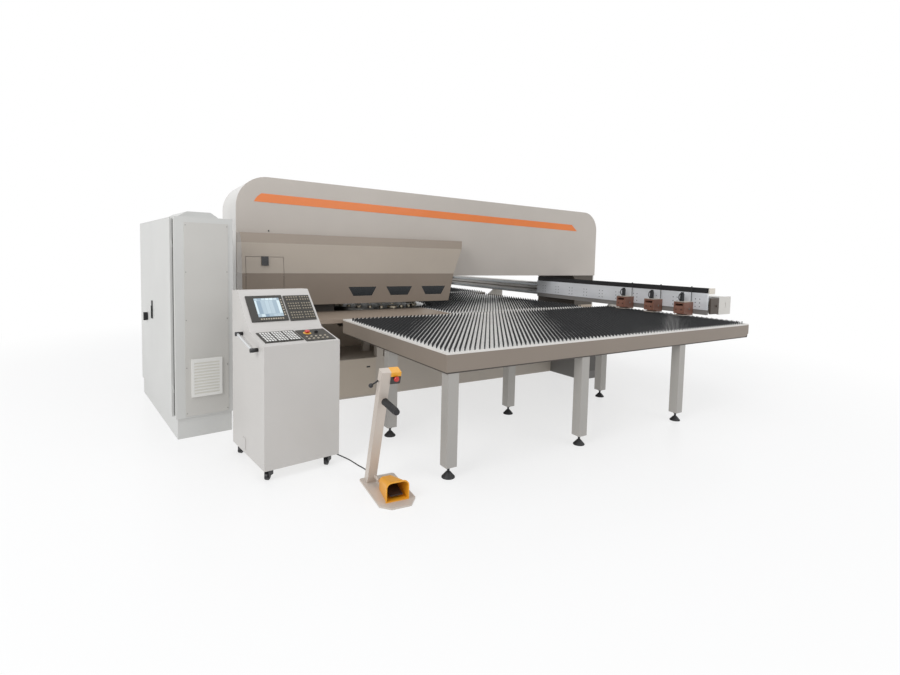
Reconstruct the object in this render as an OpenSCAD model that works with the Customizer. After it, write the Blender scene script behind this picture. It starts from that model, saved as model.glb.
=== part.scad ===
// Turret punch press for sheet metal: closed O frame, brush tables, moving beam with three clamps.
// Millimetres. The origin is the punch axis on the floor, X runs along the frame, Y to the rear, Z up.

/* [Frame and covers] */
// left end of the covered frame
frame_left = -2442; // [-2500:1:-2400]
// right end of the covered frame
frame_right = 3340; // [3250:1:3450]
// half width over the side panels
panel_half = 469; // [455:1:485]
// depth of the panels and end covers
cover_depth = 19; // [12:1:25]
// sheet thickness of the covers
cover_sheet = 4; // [2:0.5:6]
// height of the top at the left corner
top_left_z = 2465; // [2420:1:2520]
// height of the top at the right corner
top_right_z = 2399; // [2370:1:2450]
// radius of the top left corner
corner_left_r = 340; // [250:1:380]
// radius of the top right corner
corner_right_r = 300; // [200:1:330]
// lower edge of the side panels
panel_low = 1340; // [1332:1:1344]
// lower edge of the left end cover
end_cover_low = 460; // [445:1:520]
// width of the seams between the end covers
cover_seam = 3; // [1:1:6]
// width of the stiffeners behind the panels
stiffener_w = 60; // [40:1:90]
// left end of the throat in the frame
throat_left = -1300; // [-1320:1:-1280]
// right end of the throat in the frame
throat_right = 2900; // [2880:1:2950]
// floor of the throat
throat_low = 700; // [690:1:700]
// ceiling of the throat
throat_high = 1345; // [1345:1:1360]
// corner bevel of the throat
throat_bevel = 70; // [40:1:90]
// thickness of the two side plates
side_plate = 50; // [30:1:60]
// thickness of the flanges
flange_plate = 45; // [30:1:55]
// thickness of the ribs
rib_plate = 30; // [20:1:40]
// clear width of the cell that holds the ram drive
ram_cell = 500; // [460:1:560]
// seam between the plates of a welded piece
seam = 0.2; // [0.1:0.1:0.3]

/* [Stripe] */
// thickness of the stripe
stripe_t = 2; // [1:0.5:3]
// left end of the stripe at its top
stripe_left = -2170; // [-2200:1:-2100]
// right end of the stripe at its top
stripe_right = 2749; // [2600:1:2800]
// top of the stripe at the left
stripe_z = 2278; // [2250:1:2300]
// fall of the stripe to the right
stripe_fall = 101; // [60:1:120]
// height of the stripe
stripe_h = 98; // [80:1:120]

/* [Base] */
// left end of the base
base_left = -2360; // [-2400:1:-2300]
// right end of the base
base_right = 1648; // [1600:1:1700]
// half width of the base
base_half = 1234; // [1210:1:1260]
// height of the base
base_h = 442; // [400:1:470]
// plate of the base
base_plate = 14; // [8:1:20]
// right end of the removable base cover
base_cover_right = -1078; // [-1100:1:-1050]
// thickness of the removable cover
base_cover_t = 6; // [3:1:8]
// gap round the removable cover
base_cover_gap = 5; // [3:1:8]
// length of the end foot along the frame
foot_length = 432; // [400:1:460]
// half width of the end foot
foot_half = 1823; // [1780:1:1850]
// toe height of the end foot
foot_toe = 101; // [80:1:120]
// slope of the end foot
foot_slope = 46.6; // [40:0.1:50]
// posts under the aprons
post_w = 80; // [60:1:90]

/* [Hoods] */
// left end of the hoods
hood_left = -2438; // [-2440:1:-2425]
// right end of the hoods at the bottom
hood_right = 162; // [150:1:175]
// lower edge of the hoods
hood_low = 1023; // [1010:1:1035]
// height of the hoods' top
hood_top = 1824; // [1800:1:1850]
// depth of the lower band from the axis
hood_front = 795; // [780:1:820]
// lower fold of the hoods
hood_fold = 1383; // [1370:1:1395]
// upper fold of the hoods
hood_fold_high = 1714; // [1700:1:1725]
// lean of the hoods between the folds
hood_lean = 46; // [30:1:60]
// sheet of the hoods
hood_sheet = 4; // [3:0.5:5]
// centre of the three windows
window_mid = [-1066, -572, -75];
// top width of a window
window_top_w = 363; // [340:1:380]
// bottom width of a window
window_low_w = 240; // [220:1:260]
// top of the windows
window_z = 1221; // [1215:1:1230]
// height of the windows
window_h = 109; // [90:1:115]
// thickness of the window panes
pane_t = 5; // [3:1:6]
// overlap of the panes behind the sheet
pane_lap = 14; // [8:1:20]
// left edge of the hood door
door_left = -2402; // [-2405:1:-2395]
// width of the hood door opening
door_w = 402; // [380:1:420]
// top of the hood door
door_top = 1563; // [1540:1:1580]
// bottom of the hood door
door_low = 1052; // [1045:1:1060]
// gap round the hood door
door_gap = 4; // [3:0.5:5]
// radius of the hood door's hinge
hinge_r = 4; // [3:0.5:4]
// width of the latch
latch_w = 74; // [60:1:80]
// height of the latch
latch_h = 102; // [90:1:110]
// thickness of the latch
latch_t = 14; // [10:1:18]

/* [Aprons] */
// left edge of the aprons
apron_left = -1860; // [-1900:1:-1820]
// right edge of the aprons
apron_right = -192; // [-200:1:-191]
// inner edge of the aprons from the axis
apron_in = 696; // [694:1:700]
// height of the aprons and the table rims
rim_z = 930; // [928:1:932]
// depth of the apron's edge
apron_edge = 40; // [30:1:50]
// sheet of the aprons
apron_sheet = 6; // [4:1:8]

/* [Turret and ram] */
// distance of the turret axis to the left of the punch axis
turret_offset = 560; // [555:1:565]
// radius of the turret discs
turret_r = 690; // [670:1:692]
// number of stations
stations = 24; // [20:1:24]
// underside of the upper disc
upper_low = 1000; // [995:1:1005]
// thickness of the upper disc
upper_t = 130; // [110:1:135]
// top of the lower disc
lower_top = 935; // [930:1:940]
// thickness of the lower disc
lower_t = 85; // [70:1:85]
// radius of the turret hubs
hub_r = 300; // [250:1:330]
// height of the upper hub
hub_h = 60; // [40:1:70]
// radius of the turret shafts
shaft_r = 90; // [70:1:100]
// top of the upper shaft
shaft_top = 1335; // [1325:1:1340]
// wall of the bearing housings
housing_wall = 110; // [90:1:130]
// underside of the upper housing
housing_low = 1215; // [1205:1:1225]
// height of the lower housing
housing_h = 140; // [125:1:145]
// flange of the bearing housings
housing_flange = 20; // [15:1:25]
// reach of the turret motors from the turret axis
motor_reach = 620; // [580:1:640]
// width of the turret motors
motor_w = 260; // [220:1:280]
// running clearance of shafts in their bearings
run_fit = 0.05; // [0.03:0.01:0.08]
// lowest point of the punches
punch_low = 978; // [974:1:985]
// top of the punch heads
punch_top = 1230; // [1215:1:1232]
// height of the dies over the lower disc
die_over = 19; // [15:1:19]
// depth of the die pockets
die_pocket = 20; // [15:1:25]
// radius of the ram
ram_r = 55; // [45:1:60]
// lower end of the ram at rest
ram_low = 1272; // [1272:1:1280]
// length of the ram
ram_length = 518; // [480:1:540]
// wall of the ram guide
guide_wall = 35; // [25:1:40]
// width of the ram drive housing
drive_w = 360; // [320:1:400]
// height of the ram drive housing
drive_h = 580; // [560:1:620]

/* [Tables] */
// left end of the tables
table_left = -1570; // [-1600:1:-1550]
// right end of the tables
table_right = 2450; // [2400:1:2500]
// near edge of the tables from the axis
table_in = 1480; // [1478:1:1485]
// far edge of the tables from the axis
table_out = 3540; // [3500:1:3600]
// height of the skirts
skirt_h = 140; // [120:1:150]
// sheet of the skirts
skirt_t = 8; // [5:1:10]
// width of the skirts' top flange
skirt_flange = 22; // [16:1:30]
// bevel of the skirt's lower right corner
skirt_bevel = 55; // [30:1:70]
// height of the table frames
table_frame_h = 128; // [115:1:135]
// width of the table frame members
table_frame_w = 50; // [40:1:60]
// height of the cross members
cross_h = 60; // [50:1:80]
// leg positions from the tables' left end
leg_at = [65, 1415, 2798];
// inset of the outer legs from the tables' edge
leg_inset = 51; // [51:1:60]
// distance between the two rows of legs
leg_span = 981; // [900:1:1050]
// width of the legs
leg_w = 90; // [80:1:96]
// wall of the legs
leg_wall = 6; // [4:1:8]
// lower end of the legs
leg_low = 85; // [75:1:95]
// radius of the levelling feet
foot_r = 50; // [40:1:60]
// height of the cone of the levelling feet
foot_cone = 42; // [30:1:50]
// radius of the levelling studs
stud_r = 10; // [8:1:12]
// thickness of the table boards
board_t = 20; // [15:1:25]
// top of the table boards under the rim
board_drop = 4; // [3:1:6]
// number of boards on a table
board_count = 6; // [4:1:8]
// gap between boards
board_gap = 3; // [2:1:5]
// height of the brush rows over the boards
brush_h = 29; // [25:1:29]
// width of a brush row
brush_w = 6; // [4:1:8]
// distance between brush rows
brush_pitch = 30; // [28:1:40]
// left edge of the centre table
centre_left = -190; // [-190:1:-180]
// right edge of the centre table
centre_right = 2100; // [2050:1:2150]
// half width of the centre table
centre_half = 1420; // [1415:1:1422]
// gap between the turret and the centre table
turret_gap = 10; // [8:1:14]

/* [Beam] */
// height of the rail beams
rail_beam_h = 60; // [50:1:70]
// width of the rail beams
rail_beam_w = 100; // [90:1:104]
// top of the rail beams
rail_beam_z = 700; // [695:1:705]
// right end of the rail beams
rail_right = 3000; // [2960:1:3015]
// distance of the rails from the axis
rail_y = 1450; // [1449:1:1451]
// width of the rails
rail_w = 34; // [30:1:38]
// height of the rails
rail_h = 35; // [32:1:36]
// sliding gap round the rails
slide_gap = 0.3; // [0.3:0.05:0.4]
// gap between the tables and the cross beam
beam_gap = 170; // [165:1:180]
// width of the cross beam
beam_w = 225; // [210:1:240]
// underside of the cross beam
beam_low = 985; // [982:1:990]
// height of the cross beam
beam_h = 205; // [195:1:215]
// half length of the cross beam
beam_half = 3074; // [3050:1:3090]
// wall of the cross beam
beam_wall = 12; // [8:1:16]
// thickness of the beam brackets
bracket_t = 30; // [20:1:35]
// length of the beam brackets
bracket_l = 400; // [380:1:405]
// length of a bearing block
block_l = 120; // [100:1:140]
// width of the carriage rails
guide_w = 30; // [26:1:32]
// height of the lower carriage rail over the beam's underside
guide_low = 30; // [28:1:36]
// distance between the carriage rails
guide_pitch = 140; // [130:1:145]

/* [Carriage and clamps] */
// depth of the carriage before the cross beam
carriage_d = 230; // [225:1:240]
// thickness of the carriage plate
plate_t = 25; // [20:1:30]
// underside of the carriage plate
plate_low = 1036; // [1030:1:1040]
// height of the carriage plate
plate_h = 204; // [190:1:210]
// length of the carriage plate
plate_l = 3000; // [2900:10:3000]
// height of the clamp bar under the plate
clamp_bar_h = 58; // [50:1:58]
// width of the clamp bar
clamp_bar_w = 30; // [20:1:36]
// distance between carriage bearings
bearing_pitch = 680; // [640:1:700]
// width of the cable tray
tray_w = 80; // [60:1:100]
// height of the cable tray
tray_h = 60; // [50:1:60]
// sheet of the cable tray
tray_sheet = 3; // [2:1:4]
// radius of the carriage screw
screw_r = 12; // [10:1:14]
// thickness of the drive's end bracket
drive_plate = 24; // [18:1:28]
// centre of the clamps along the carriage
clamp_y = [-2826, -2400, -1958];
// depth of a clamp
clamp_d = 185; // [170:1:190]
// width of a clamp
clamp_w = 143; // [120:1:150]
// underside of a clamp
clamp_low = 958; // [957:1:962]
// height of a clamp
clamp_h = 165; // [160:1:170]
// thickness of the clamp's lower lip
lip_t = 8; // [6:1:10]
// opening of the clamp's mouth
mouth = 14; // [10:1:16]
// thickness of the clamp's cheeks
cheek_t = 20; // [16:1:26]
// radius of the jaw pin
jaw_pin_r = 9; // [7:1:10]
// radius of the clamp cylinder
cyl_r = 24; // [18:1:26]
// top of the clamp cylinder
cyl_top = 1240; // [1220:1:1250]
// radius of the clamp hose
hose_r = 6; // [4:1:8]
// radius of the sensor rod
rod_r = 4; // [3:1:5]
// top of the sensor rod
rod_top = 1315; // [1300:1:1318]

/* [Cabinet] */
// corner of the cabinet on the floor
cabinet_at = [-3137, -1748];
// turn of the cabinet
cabinet_turn = 6.4; // [0:0.1:10]
// width of the cabinet
cabinet_w = 463; // [440:1:480]
// depth of the cabinet
cabinet_d = 1860; // [1800:1:1900]
// height of the cabinet
cabinet_h = 1895; // [1850:1:1950]
// height of the plinth
plinth_h = 178; // [150:1:200]
// sheet of the cabinet
cabinet_sheet = 3; // [2:0.5:4]
// left edge of the front panel
front_left = 73; // [60:1:80]
// right edge of the front panel
front_right = 424; // [400:1:430]
// top of the front panel
front_top = 1848; // [1820:1:1848]
// left edge of the filter
filter_left = 118; // [110:1:126]
// width of the filter
filter_w = 248; // [220:1:260]
// bottom of the filter
filter_low = 353; // [340:1:370]
// height of the filter
filter_h = 329; // [300:1:340]
// thickness of the filter frame
filter_t = 12; // [8:1:16]
// hinge edge of the cabinet door
cab_door_at = 70; // [60:1:80]
// width of the cabinet door
cab_door_w = 990; // [960:1:1010]
// thickness of the cabinet door
cab_door_t = 22; // [18:1:26]
// place of the door handle
handle_at = 965; // [940:1:975]
// bottom of the door handle
handle_low = 934; // [900:1:950]
// length of the door handle
handle_h = 180; // [150:1:200]
// radius of the spindles of the handle and switch
spindle_r = 6; // [4:0.5:8]
// place of the main switch
switch_at = 1430; // [1400:1:1460]
// height of the main switch
switch_z = 910; // [880:1:940]
// radius of the main switch
switch_r = 42; // [35:1:48]

/* [Console] */
// corner of the console on the floor
console_at = [-2680, -2941];
// turn of the console
console_turn = 6.7; // [0:0.1:10]
// width of the console
console_w = 570; // [550:1:590]
// depth of the console
console_d = 730; // [710:1:750]
// underside of the console
console_low = 78; // [74:1:84]
// height of the front edge
deck_front = 962; // [940:1:980]
// depth of the sloping deck
deck_d = 320; // [310:1:330]
// height of the deck's rear edge
deck_rear = 1027; // [1015:1:1040]
// depth of the screen's top edge
face_d = 600; // [590:1:620]
// height of the screen's top edge
face_top = 1312; // [1300:1:1330]
// sheet of the console
console_sheet = 3; // [2:0.5:4]
// thickness of the screen panel
screen_t = 8; // [6:1:12]
// right edge of the screen panel
panel_edge = 322; // [315:1:330]
// upper edge of the screen panel
panel_high = 333; // [325:1:336]
// right edge of the key panels
keys_edge = 550; // [545:1:560]
// thickness of the key panels
keys_t = 6; // [4:1:10]
// radius of the emergency stop
estop_r = 20; // [16:1:22]
// radius of the knob
knob_r = 14; // [10:1:16]
// travel of the stop buttons
estop_travel = 5; // [3:1:5]
// radius of the handle bar
bar_r = 10; // [8:1:12]
// finger gap behind the handle bar
handle_gap = 30; // [25:1:40]
// radius of the caster wheels
wheel_r = 27; // [24:1:28]
// width of the caster wheels
wheel_w = 22; // [18:1:24]
// trail of the casters
trail = 30; // [24:1:34]
// inset of the casters
caster_in = 60; // [55:1:70]

/* [Foot station] */
// rear edge of the base plate
stand_at = [-1960, -3234];
// turn of the foot station
stand_turn = -5.4; // [-10:0.1:0]
// width of the base plate
stand_w = 260; // [240:1:280]
// length of the base plate
stand_l = 501; // [480:1:520]
// thickness of the base plate
stand_t = 12; // [8:1:15]
// bevel of the base plate's corners
stand_bevel = 62; // [40:1:70]
// width of the post
post_tube = 64; // [56:1:70]
// height of the post
post_top = 864; // [840:1:900]
// lean of the post
post_lean = 18.3; // [16:0.1:20]
// radius of the grip
grip_r = 20; // [15:1:24]
// length of the grip
grip_l = 236; // [200:1:250]
// width of the pedal hood
pedal_hood_w = 154; // [140:1:165]
// length of the pedal hood
pedal_hood_d = 243; // [235:1:250]
// height of the pedal hood's mouth
pedal_hood_h = 128; // [120:1:140]
// width of the pedal hood's rear
pedal_rear_w = 104; // [100:1:120]
// height of the pedal hood's rear
pedal_rear_h = 84; // [80:1:95]
// wall of the pedal hood
pedal_hood_wall = 4; // [3:1:6]
// radius of the cable
cable_r = 4.5; // [3.5:0.5:6]

/* [Hidden] */
$fn = 48;
eps = 0.5;
frame_half = panel_half - cover_depth;
beam_left = table_right + beam_gap;
beam_right = beam_left + beam_w;
plate_x = beam_left - carriage_d;
leg_x = [for (x = leg_at) table_left + x];
leg_y = [table_out - leg_inset, table_out - leg_inset - leg_span];
cross_x = [for (i = [1:board_count - 1]) table_left + i * (table_right - table_left) / board_count];
beam_top = beam_low + beam_h;
hood_slope = [[hood_right, hood_low], [235, hood_fold], [388, hood_fold_high], [446, hood_top]];
turret_x = -turret_offset;
board_z = rim_z - board_drop;
table_frame_low = board_z - board_t - table_frame_h;
rail_beam_low = rail_beam_z - rail_beam_h;
plate_top = plate_low + plate_h;
guide_z = [beam_low + guide_low, beam_low + guide_low + guide_pitch];
mouth_low = clamp_low + lip_t;
mouth_top = mouth_low + mouth;
clamp_top = clamp_low + clamp_h;
clamp_left = plate_x - clamp_d;
jaw_pin = [clamp_left + 105, clamp_low + 82];
cyl_x = clamp_left + 62;
stand_mid = -282;
hood_mouth = -143;
pedal_pin = 163;
post_length = (post_top - stand_t) / cos(post_lean);
post_foot = [-68, -59];
tool_sizes = [44, 18, 18, 28, 18, 18, 57, 18, 18, 28, 18, 18];
rib_x = [throat_left - flange_plate / 2, turret_x - 260, -(ram_cell + rib_plate) / 2, (ram_cell + rib_plate) / 2,
    1100, 2000, throat_right + flange_plate / 2];
cell_x = [(frame_left + throat_left) / 2, (rib_x[0] + rib_x[1]) / 2, (rib_x[1] + rib_x[2]) / 2, 0,
    (rib_x[3] + rib_x[4]) / 2, (rib_x[4] + rib_x[5]) / 2, (rib_x[5] + rib_x[6]) / 2, (throat_right + frame_right) / 2];

// A block between two corners.
module block(a, b) {
    translate(a) cube(b - a);
}

// A shape drawn in x and z, run along y.
module along_y(y0, y1) {
    translate([0, y1, 0]) rotate([90, 0, 0]) linear_extrude(y1 - y0) children();
}

// A shape drawn in y and z, run along x.
module along_x(x0, x1) {
    translate([x0, 0, 0]) rotate([90, 0, 90]) linear_extrude(x1 - x0) children();
}

// The same thing at the front and at the rear.
module front_and_rear() {
    children();
    mirror([0, 1, 0]) children();
}

function arc(cx, cz, r, a0, a1, n) =
    [for (i = [0:n]) [cx + r * cos(a0 + (a1 - a0) * i / n), cz + r * sin(a0 + (a1 - a0) * i / n)]];

// The outline of the covered frame, drawn in by d, down to the height low.
function frame_outline(d, low) = concat([[frame_left + d, low]],
    arc(frame_left + corner_left_r, top_left_z - corner_left_r, corner_left_r - d, 180, 90, 12),
    arc(frame_right - corner_right_r, top_right_z - corner_right_r, corner_right_r - d, 90, 0, 12),
    [[frame_right - d, low]]);

// Height of the frame's top at x, between its round corners.
function roof(x) = top_left_z - cover_depth - (top_left_z - top_right_z) * (x - frame_left - corner_left_r)
    / (frame_right - frame_left - corner_left_r - corner_right_r);

// The profile of a guide rail with waisted sides, w wide and h high, grown by g.
module rail_profile(w, h, g) {
    polygon([[-w / 2 - g, -g], [w / 2 + g, -g], [w / 2 + g, h * 0.3 + g], [w * 0.36 + g, h * 0.42 + g], [w * 0.36 + g, h * 0.6 - g],
        [w / 2 + g, h * 0.72 - g], [w / 2 + g, h + g], [-w / 2 - g, h + g], [-w / 2 - g, h * 0.72 - g],
        [-w * 0.36 - g, h * 0.6 - g], [-w * 0.36 - g, h * 0.42 + g], [-w / 2 - g, h * 0.3 + g]]);
}

module main_frame() color("#8d8980") {
    l = frame_left + cover_depth;
    r = frame_right - cover_depth;
    f = flange_plate;
    bend_left = frame_left + corner_left_r;
    bend_right = frame_right - corner_right_r;
    // side plates of the top, the floor beam and the columns, and gussets in the throat's corners
    for (y = [-frame_half, frame_half - side_plate])
        along_y(y, y + side_plate) {
            polygon(frame_outline(cover_depth, throat_high));
            translate([l, 0]) square([r - l, throat_low]);
            for (x = [[l, throat_left], [throat_right, r]])
                translate([x[0], throat_low + seam]) square([x[1] - x[0], throat_high - throat_low - 2 * seam]);
            for (c = [[throat_left, 1], [throat_right, -1]], d = [[throat_low, 1], [throat_high, -1]])
                translate([c[0] + c[1] * seam, d[0] + d[1] * seam])
                    polygon([[0, 0], [c[1] * throat_bevel, 0], [0, d[1] * throat_bevel]]);
        }
    // flanges and ribs between the side plates
    difference() {
        along_y(-frame_half + side_plate + seam, frame_half - side_plate - seam) {
            translate([l, 0]) square([f, top_left_z - corner_left_r - seam]);
            translate([r - f, 0]) square([f, top_right_z - corner_right_r - seam]);
            polygon(concat(arc(bend_left, top_left_z - corner_left_r, corner_left_r - cover_depth, 180, 90, 6),
                arc(bend_left, top_left_z - corner_left_r, corner_left_r - cover_depth - f, 90, 180, 6)));
            polygon(concat(arc(bend_right, top_right_z - corner_right_r, corner_right_r - cover_depth, 90, 0, 6),
                arc(bend_right, top_right_z - corner_right_r, corner_right_r - cover_depth - f, 0, 90, 6)));
            polygon([[bend_left + seam, roof(bend_left) - f], [bend_left + seam, roof(bend_left)],
                [bend_right - seam, roof(bend_right)], [bend_right - seam, roof(bend_right) - f]]);
            for (z = [0, throat_low - f, throat_high])
                translate([l + f + seam, z]) square([r - l - 2 * f - 2 * seam, f]);
            for (x = [throat_left - f, throat_right])
                translate([x, throat_low + seam]) square([f, throat_high - throat_low - 2 * seam]);
            for (x = rib_x) {
                translate([x - rib_plate / 2, f + seam]) square([rib_plate, throat_low - 2 * f - 2 * seam]);
                translate([x - rib_plate / 2, throat_high + f + seam])
                    square([rib_plate, roof(x + rib_plate / 2) - 2 * f - 2 * seam - throat_high]);
            }
        }
        translate([0, 0, throat_high - 1]) cylinder(r = ram_r + guide_wall + slide_gap, h = f + 2);
    }
    front_and_rear()
        block([throat_right, frame_half + seam, rail_beam_low - 80], [throat_right + 120, rail_y + rail_beam_w / 2, rail_beam_low]);
}

module base_frame() color("#a5a39f") {
    p = base_plate;
    low = base_h - p - seam;
    window = [base_left + 60, base_cover_right - 60];
    front_and_rear() {
        block([base_left, -base_half, base_h - p], [base_right, -frame_half - seam, base_h]);
        block([base_left, -frame_half - seam - p, 0], [base_right, -frame_half - seam, low]);
        for (x = [base_left, base_cover_right, 0, 820, base_right - p])
            block([x, -base_half + p + seam, 0], [x + p, -frame_half - 2 * seam - p, low]);
        // posts under the aprons and the rails
        for (x = [apron_left + 100, (apron_left + apron_right) / 2, apron_right - 100], y = [-apron_in - 100, -base_half + post_w / 2])
            block([x - post_w / 2, y - post_w / 2, base_h + seam], [x + post_w / 2, y + post_w / 2, rim_z - apron_sheet]);
        for (x = [centre_left + 60, 780, base_right - 90]) {
            block([x - post_w / 2, -base_half, base_h + seam], [x + post_w / 2, -base_half + post_w, rail_beam_low]);
            block([x - post_w / 2, -table_in - 70, rail_beam_low - 70], [x + post_w / 2, -base_half - seam, rail_beam_low]);
            block([x - post_w / 2, -table_in - 70, rail_beam_low + seam], [x + post_w / 2, -table_in - 26, table_frame_low]);
        }
    }
    // outer plates, the front one open behind the removable cover
    block([base_left, base_half - p, 0], [base_right, base_half, low]);
    for (x = [[base_left, window[0]], [window[1], base_right]])
        block([x[0], -base_half, 0], [x[1], -base_half + p, low]);
    for (z = [[0, 60], [base_h - 60, low]])
        block([window[0] + seam, -base_half, z[0]], [window[1] - seam, -base_half + p, z[1]]);
}

// Height of the end foot's slope at y.
function slope_z(y) = foot_toe + (y + foot_half) * tan(foot_slope);

module end_foot() color("#6e6c69") {
    p = base_plate;
    x0 = base_right;
    x1 = base_right + foot_length;
    top_y = foot_half - (rail_beam_low - foot_toe) / tan(foot_slope);
    drop = p / cos(foot_slope);
    front_and_rear() {
        for (x = [x0, x1 - p])
            along_x(x, x + p)
                polygon([[-foot_half, 0], [-foot_half, foot_toe], [-top_y, rail_beam_low],
                    [-frame_half - seam, rail_beam_low], [-frame_half - seam, 0]]);
        along_x(x0 + p + seam, x1 - p - seam) {
            translate([-foot_half, 0]) square([p, foot_toe - drop - seam]);
            polygon([[-foot_half, foot_toe - drop], [-foot_half, foot_toe], [-top_y, rail_beam_low], [-top_y, rail_beam_low - drop]]);
            translate([-top_y + seam, rail_beam_low - p]) square([top_y - frame_half - 2 * seam, p]);
        }
        // seat of the rail, and the arm that holds the table
        along_x(x0 + 70, x1 - 70) let(a = -rail_y - rail_beam_w / 2, b = -rail_y + rail_beam_w / 2 + 20)
            polygon([[a, slope_z(a) + 2 * seam], [a, rail_beam_low], [b, rail_beam_low], [b, slope_z(b) + 2 * seam]]);
        block([x0 + 70, -table_in - 70, rail_beam_low - 70], [x0 + 70 + post_w, -rail_y - rail_beam_w / 2 - seam, rail_beam_low]);
        block([x0 + 70, -table_in - 70, rail_beam_low + seam], [x0 + 70 + post_w, -table_in - 26, table_frame_low]);
    }
}

module frame_panels() color("#bab3ab") {
    front_and_rear() {
        along_y(-panel_half, -panel_half + cover_sheet) polygon(frame_outline(0, panel_low));
        along_y(-panel_half + cover_sheet - eps, -frame_half) difference() {
            polygon(frame_outline(0, panel_low));
            polygon(frame_outline(cover_sheet, panel_low + cover_sheet));
        }
        for (x = cell_x)
            block([x - stiffener_w / 2, -panel_half + cover_sheet - eps, throat_high + 60],
                [x + stiffener_w / 2, -frame_half, top_right_z - 160]);
    }
}

module end_covers() color("#d6d4d0") {
    difference() {
        union() {
            along_y(-frame_half, frame_half) difference() {
                polygon(frame_outline(0, end_cover_low));
                polygon(frame_outline(cover_sheet, end_cover_low - 1));
            }
            for (y = [-frame_half, frame_half - cover_sheet])
                along_y(y, y + cover_sheet) difference() {
                    polygon(frame_outline(0, end_cover_low));
                    polygon(frame_outline(cover_depth, end_cover_low - 1));
                }
        }
        for (x = [frame_left + corner_left_r + 20, frame_right - corner_right_r - 20])
            block([x, -panel_half, top_right_z - 60], [x + cover_seam, panel_half, top_left_z + 10]);
    }
}

module orange_stripe() color("#e07a35") {
    drop = stripe_fall / (stripe_right - stripe_left);
    along_y(-panel_half - stripe_t, -panel_half)
        polygon(concat([for (i = [0:6]) [stripe_left - 82 * i / 6 - 14 * sin(30 * i), stripe_z - stripe_h * i / 6 + drop * 14 * i]],
            [[stripe_right + 124, stripe_z - stripe_h - drop * (stripe_right + 124 - stripe_left)], [stripe_right, stripe_z - stripe_fall]]));
}

module base_cover() color("#9a9184") {
    block([base_left + base_cover_gap, -base_half - base_cover_t, 20], [base_cover_right - base_cover_gap, -base_half, base_h - base_cover_gap]);
    block([base_left + base_cover_gap + 70, -base_half - eps, 70], [base_left + base_cover_gap + 90, -base_half + base_plate, base_h - 70]);
    block([base_cover_right - base_cover_gap - 90, -base_half - eps, 70], [base_cover_right - base_cover_gap - 70, -base_half + base_plate, base_h - 70]);
}

// The section of the hoods in y and z, drawn in by d and run on at its open sides.
module hood_section(d) {
    run = d > 0 ? 60 : 0;
    offset(delta = -d) polygon([[-panel_half + run, hood_top], [-hood_front + 131, hood_top], [-hood_front + hood_lean, hood_fold_high], [-hood_front, hood_fold],
        [-hood_front, hood_low - run], [-panel_half + run, hood_low - run]]);
}

// The front view of the hoods in x and z, drawn in by d and run on below.
module hood_view(d) {
    run = d > 0 ? 60 : 0;
    offset(delta = -d) polygon(concat([[hood_left, hood_low - run], [hood_slope[0][0] - run * 0.2, hood_low - run]], [for (p = hood_slope) p],
        [[hood_left, hood_top]]));
}

module hood_form(d) {
    intersection() {
        along_x(hood_left - 1, hood_slope[3][0] + 1) hood_section(d);
        along_y(-hood_front - 1, -panel_half + (d > 0 ? 60 : 0)) hood_view(d);
    }
}

module hood_shell() {
    difference() {
        hood_form(0);
        hood_form(hood_sheet);
    }
}

module window_shape(grow) {
    polygon([[-window_low_w / 2 - grow, window_z - window_h - grow], [window_low_w / 2 + grow, window_z - window_h - grow],
        [window_top_w / 2 + grow, window_z + grow], [-window_top_w / 2 - grow, window_z + grow]]);
}

module hoods() color("#857869") {
    difference() {
        hood_shell();
        for (x = window_mid)
            translate([x, 0, 0]) along_y(-hood_front - 1, -hood_front + hood_sheet + 1) window_shape(0);
        block([door_left, -hood_front - 10, door_low - door_gap], [door_left + door_w, -hood_front + 40, door_top]);
    }
    for (x = [door_left - 10, door_left + door_w - door_gap + slide_gap])
        block([x, -hood_front - 2 * hinge_r - 3, door_low - 2 * hinge_r - 1], [x + 10 + door_gap - slide_gap, -hood_front, door_low + 3]);
    mirror([0, 1, 0]) hood_shell();
}

module hood_windows() color("#5a5f63") {
    for (x = window_mid)
        translate([x, 0, 0]) along_y(-hood_front + hood_sheet, -hood_front + hood_sheet + pane_t) window_shape(pane_lap);
}

module hood_door() color("#857869") {
    intersection() {
        hood_shell();
        block([door_left + door_gap, -hood_front - 10, door_low], [door_left + door_w - door_gap, -hood_front + 60, door_top - door_gap]);
    }
    block([door_left + door_gap, -hood_front - hinge_r, door_low], [door_left + door_w - door_gap, -hood_front + hood_sheet, door_low + 12]);
    translate([door_left + door_gap, -hood_front - hinge_r - 1, door_low - hinge_r])
        rotate([0, 90, 0]) cylinder(r = hinge_r, h = door_w - 2 * door_gap);
    block([door_left + door_gap, -hood_front - hinge_r - 1, door_low - hinge_r], [door_left + door_w - door_gap, -hood_front - 1, door_low + 1]);
}

module hood_latch() color("#1c1c1e") {
    lean = hood_lean / (hood_fold_high - hood_fold);
    translate([door_left + door_w / 2, -hood_front + (door_top - latch_h / 2 + 3 - hood_fold) * lean, door_top + 3 - latch_h / 2])
        rotate([-atan(lean), 0, 0]) {
            difference() {
                block([-latch_w / 2, -latch_t - slide_gap, -latch_h / 2], [latch_w / 2, -slide_gap, latch_h / 2 - 4]);
                block([-latch_w / 2 + 14, -latch_t - 1, -latch_h / 2 + 14], [latch_w / 2 - 14, -latch_t + 4, 0]);
            }
            // round upper edge on the latch's pin
            translate([-latch_w / 2, -latch_t / 2, latch_h / 2 - 5]) rotate([0, 90, 0]) cylinder(r = 5, h = latch_w, $fn = 24);
        }
}

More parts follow.
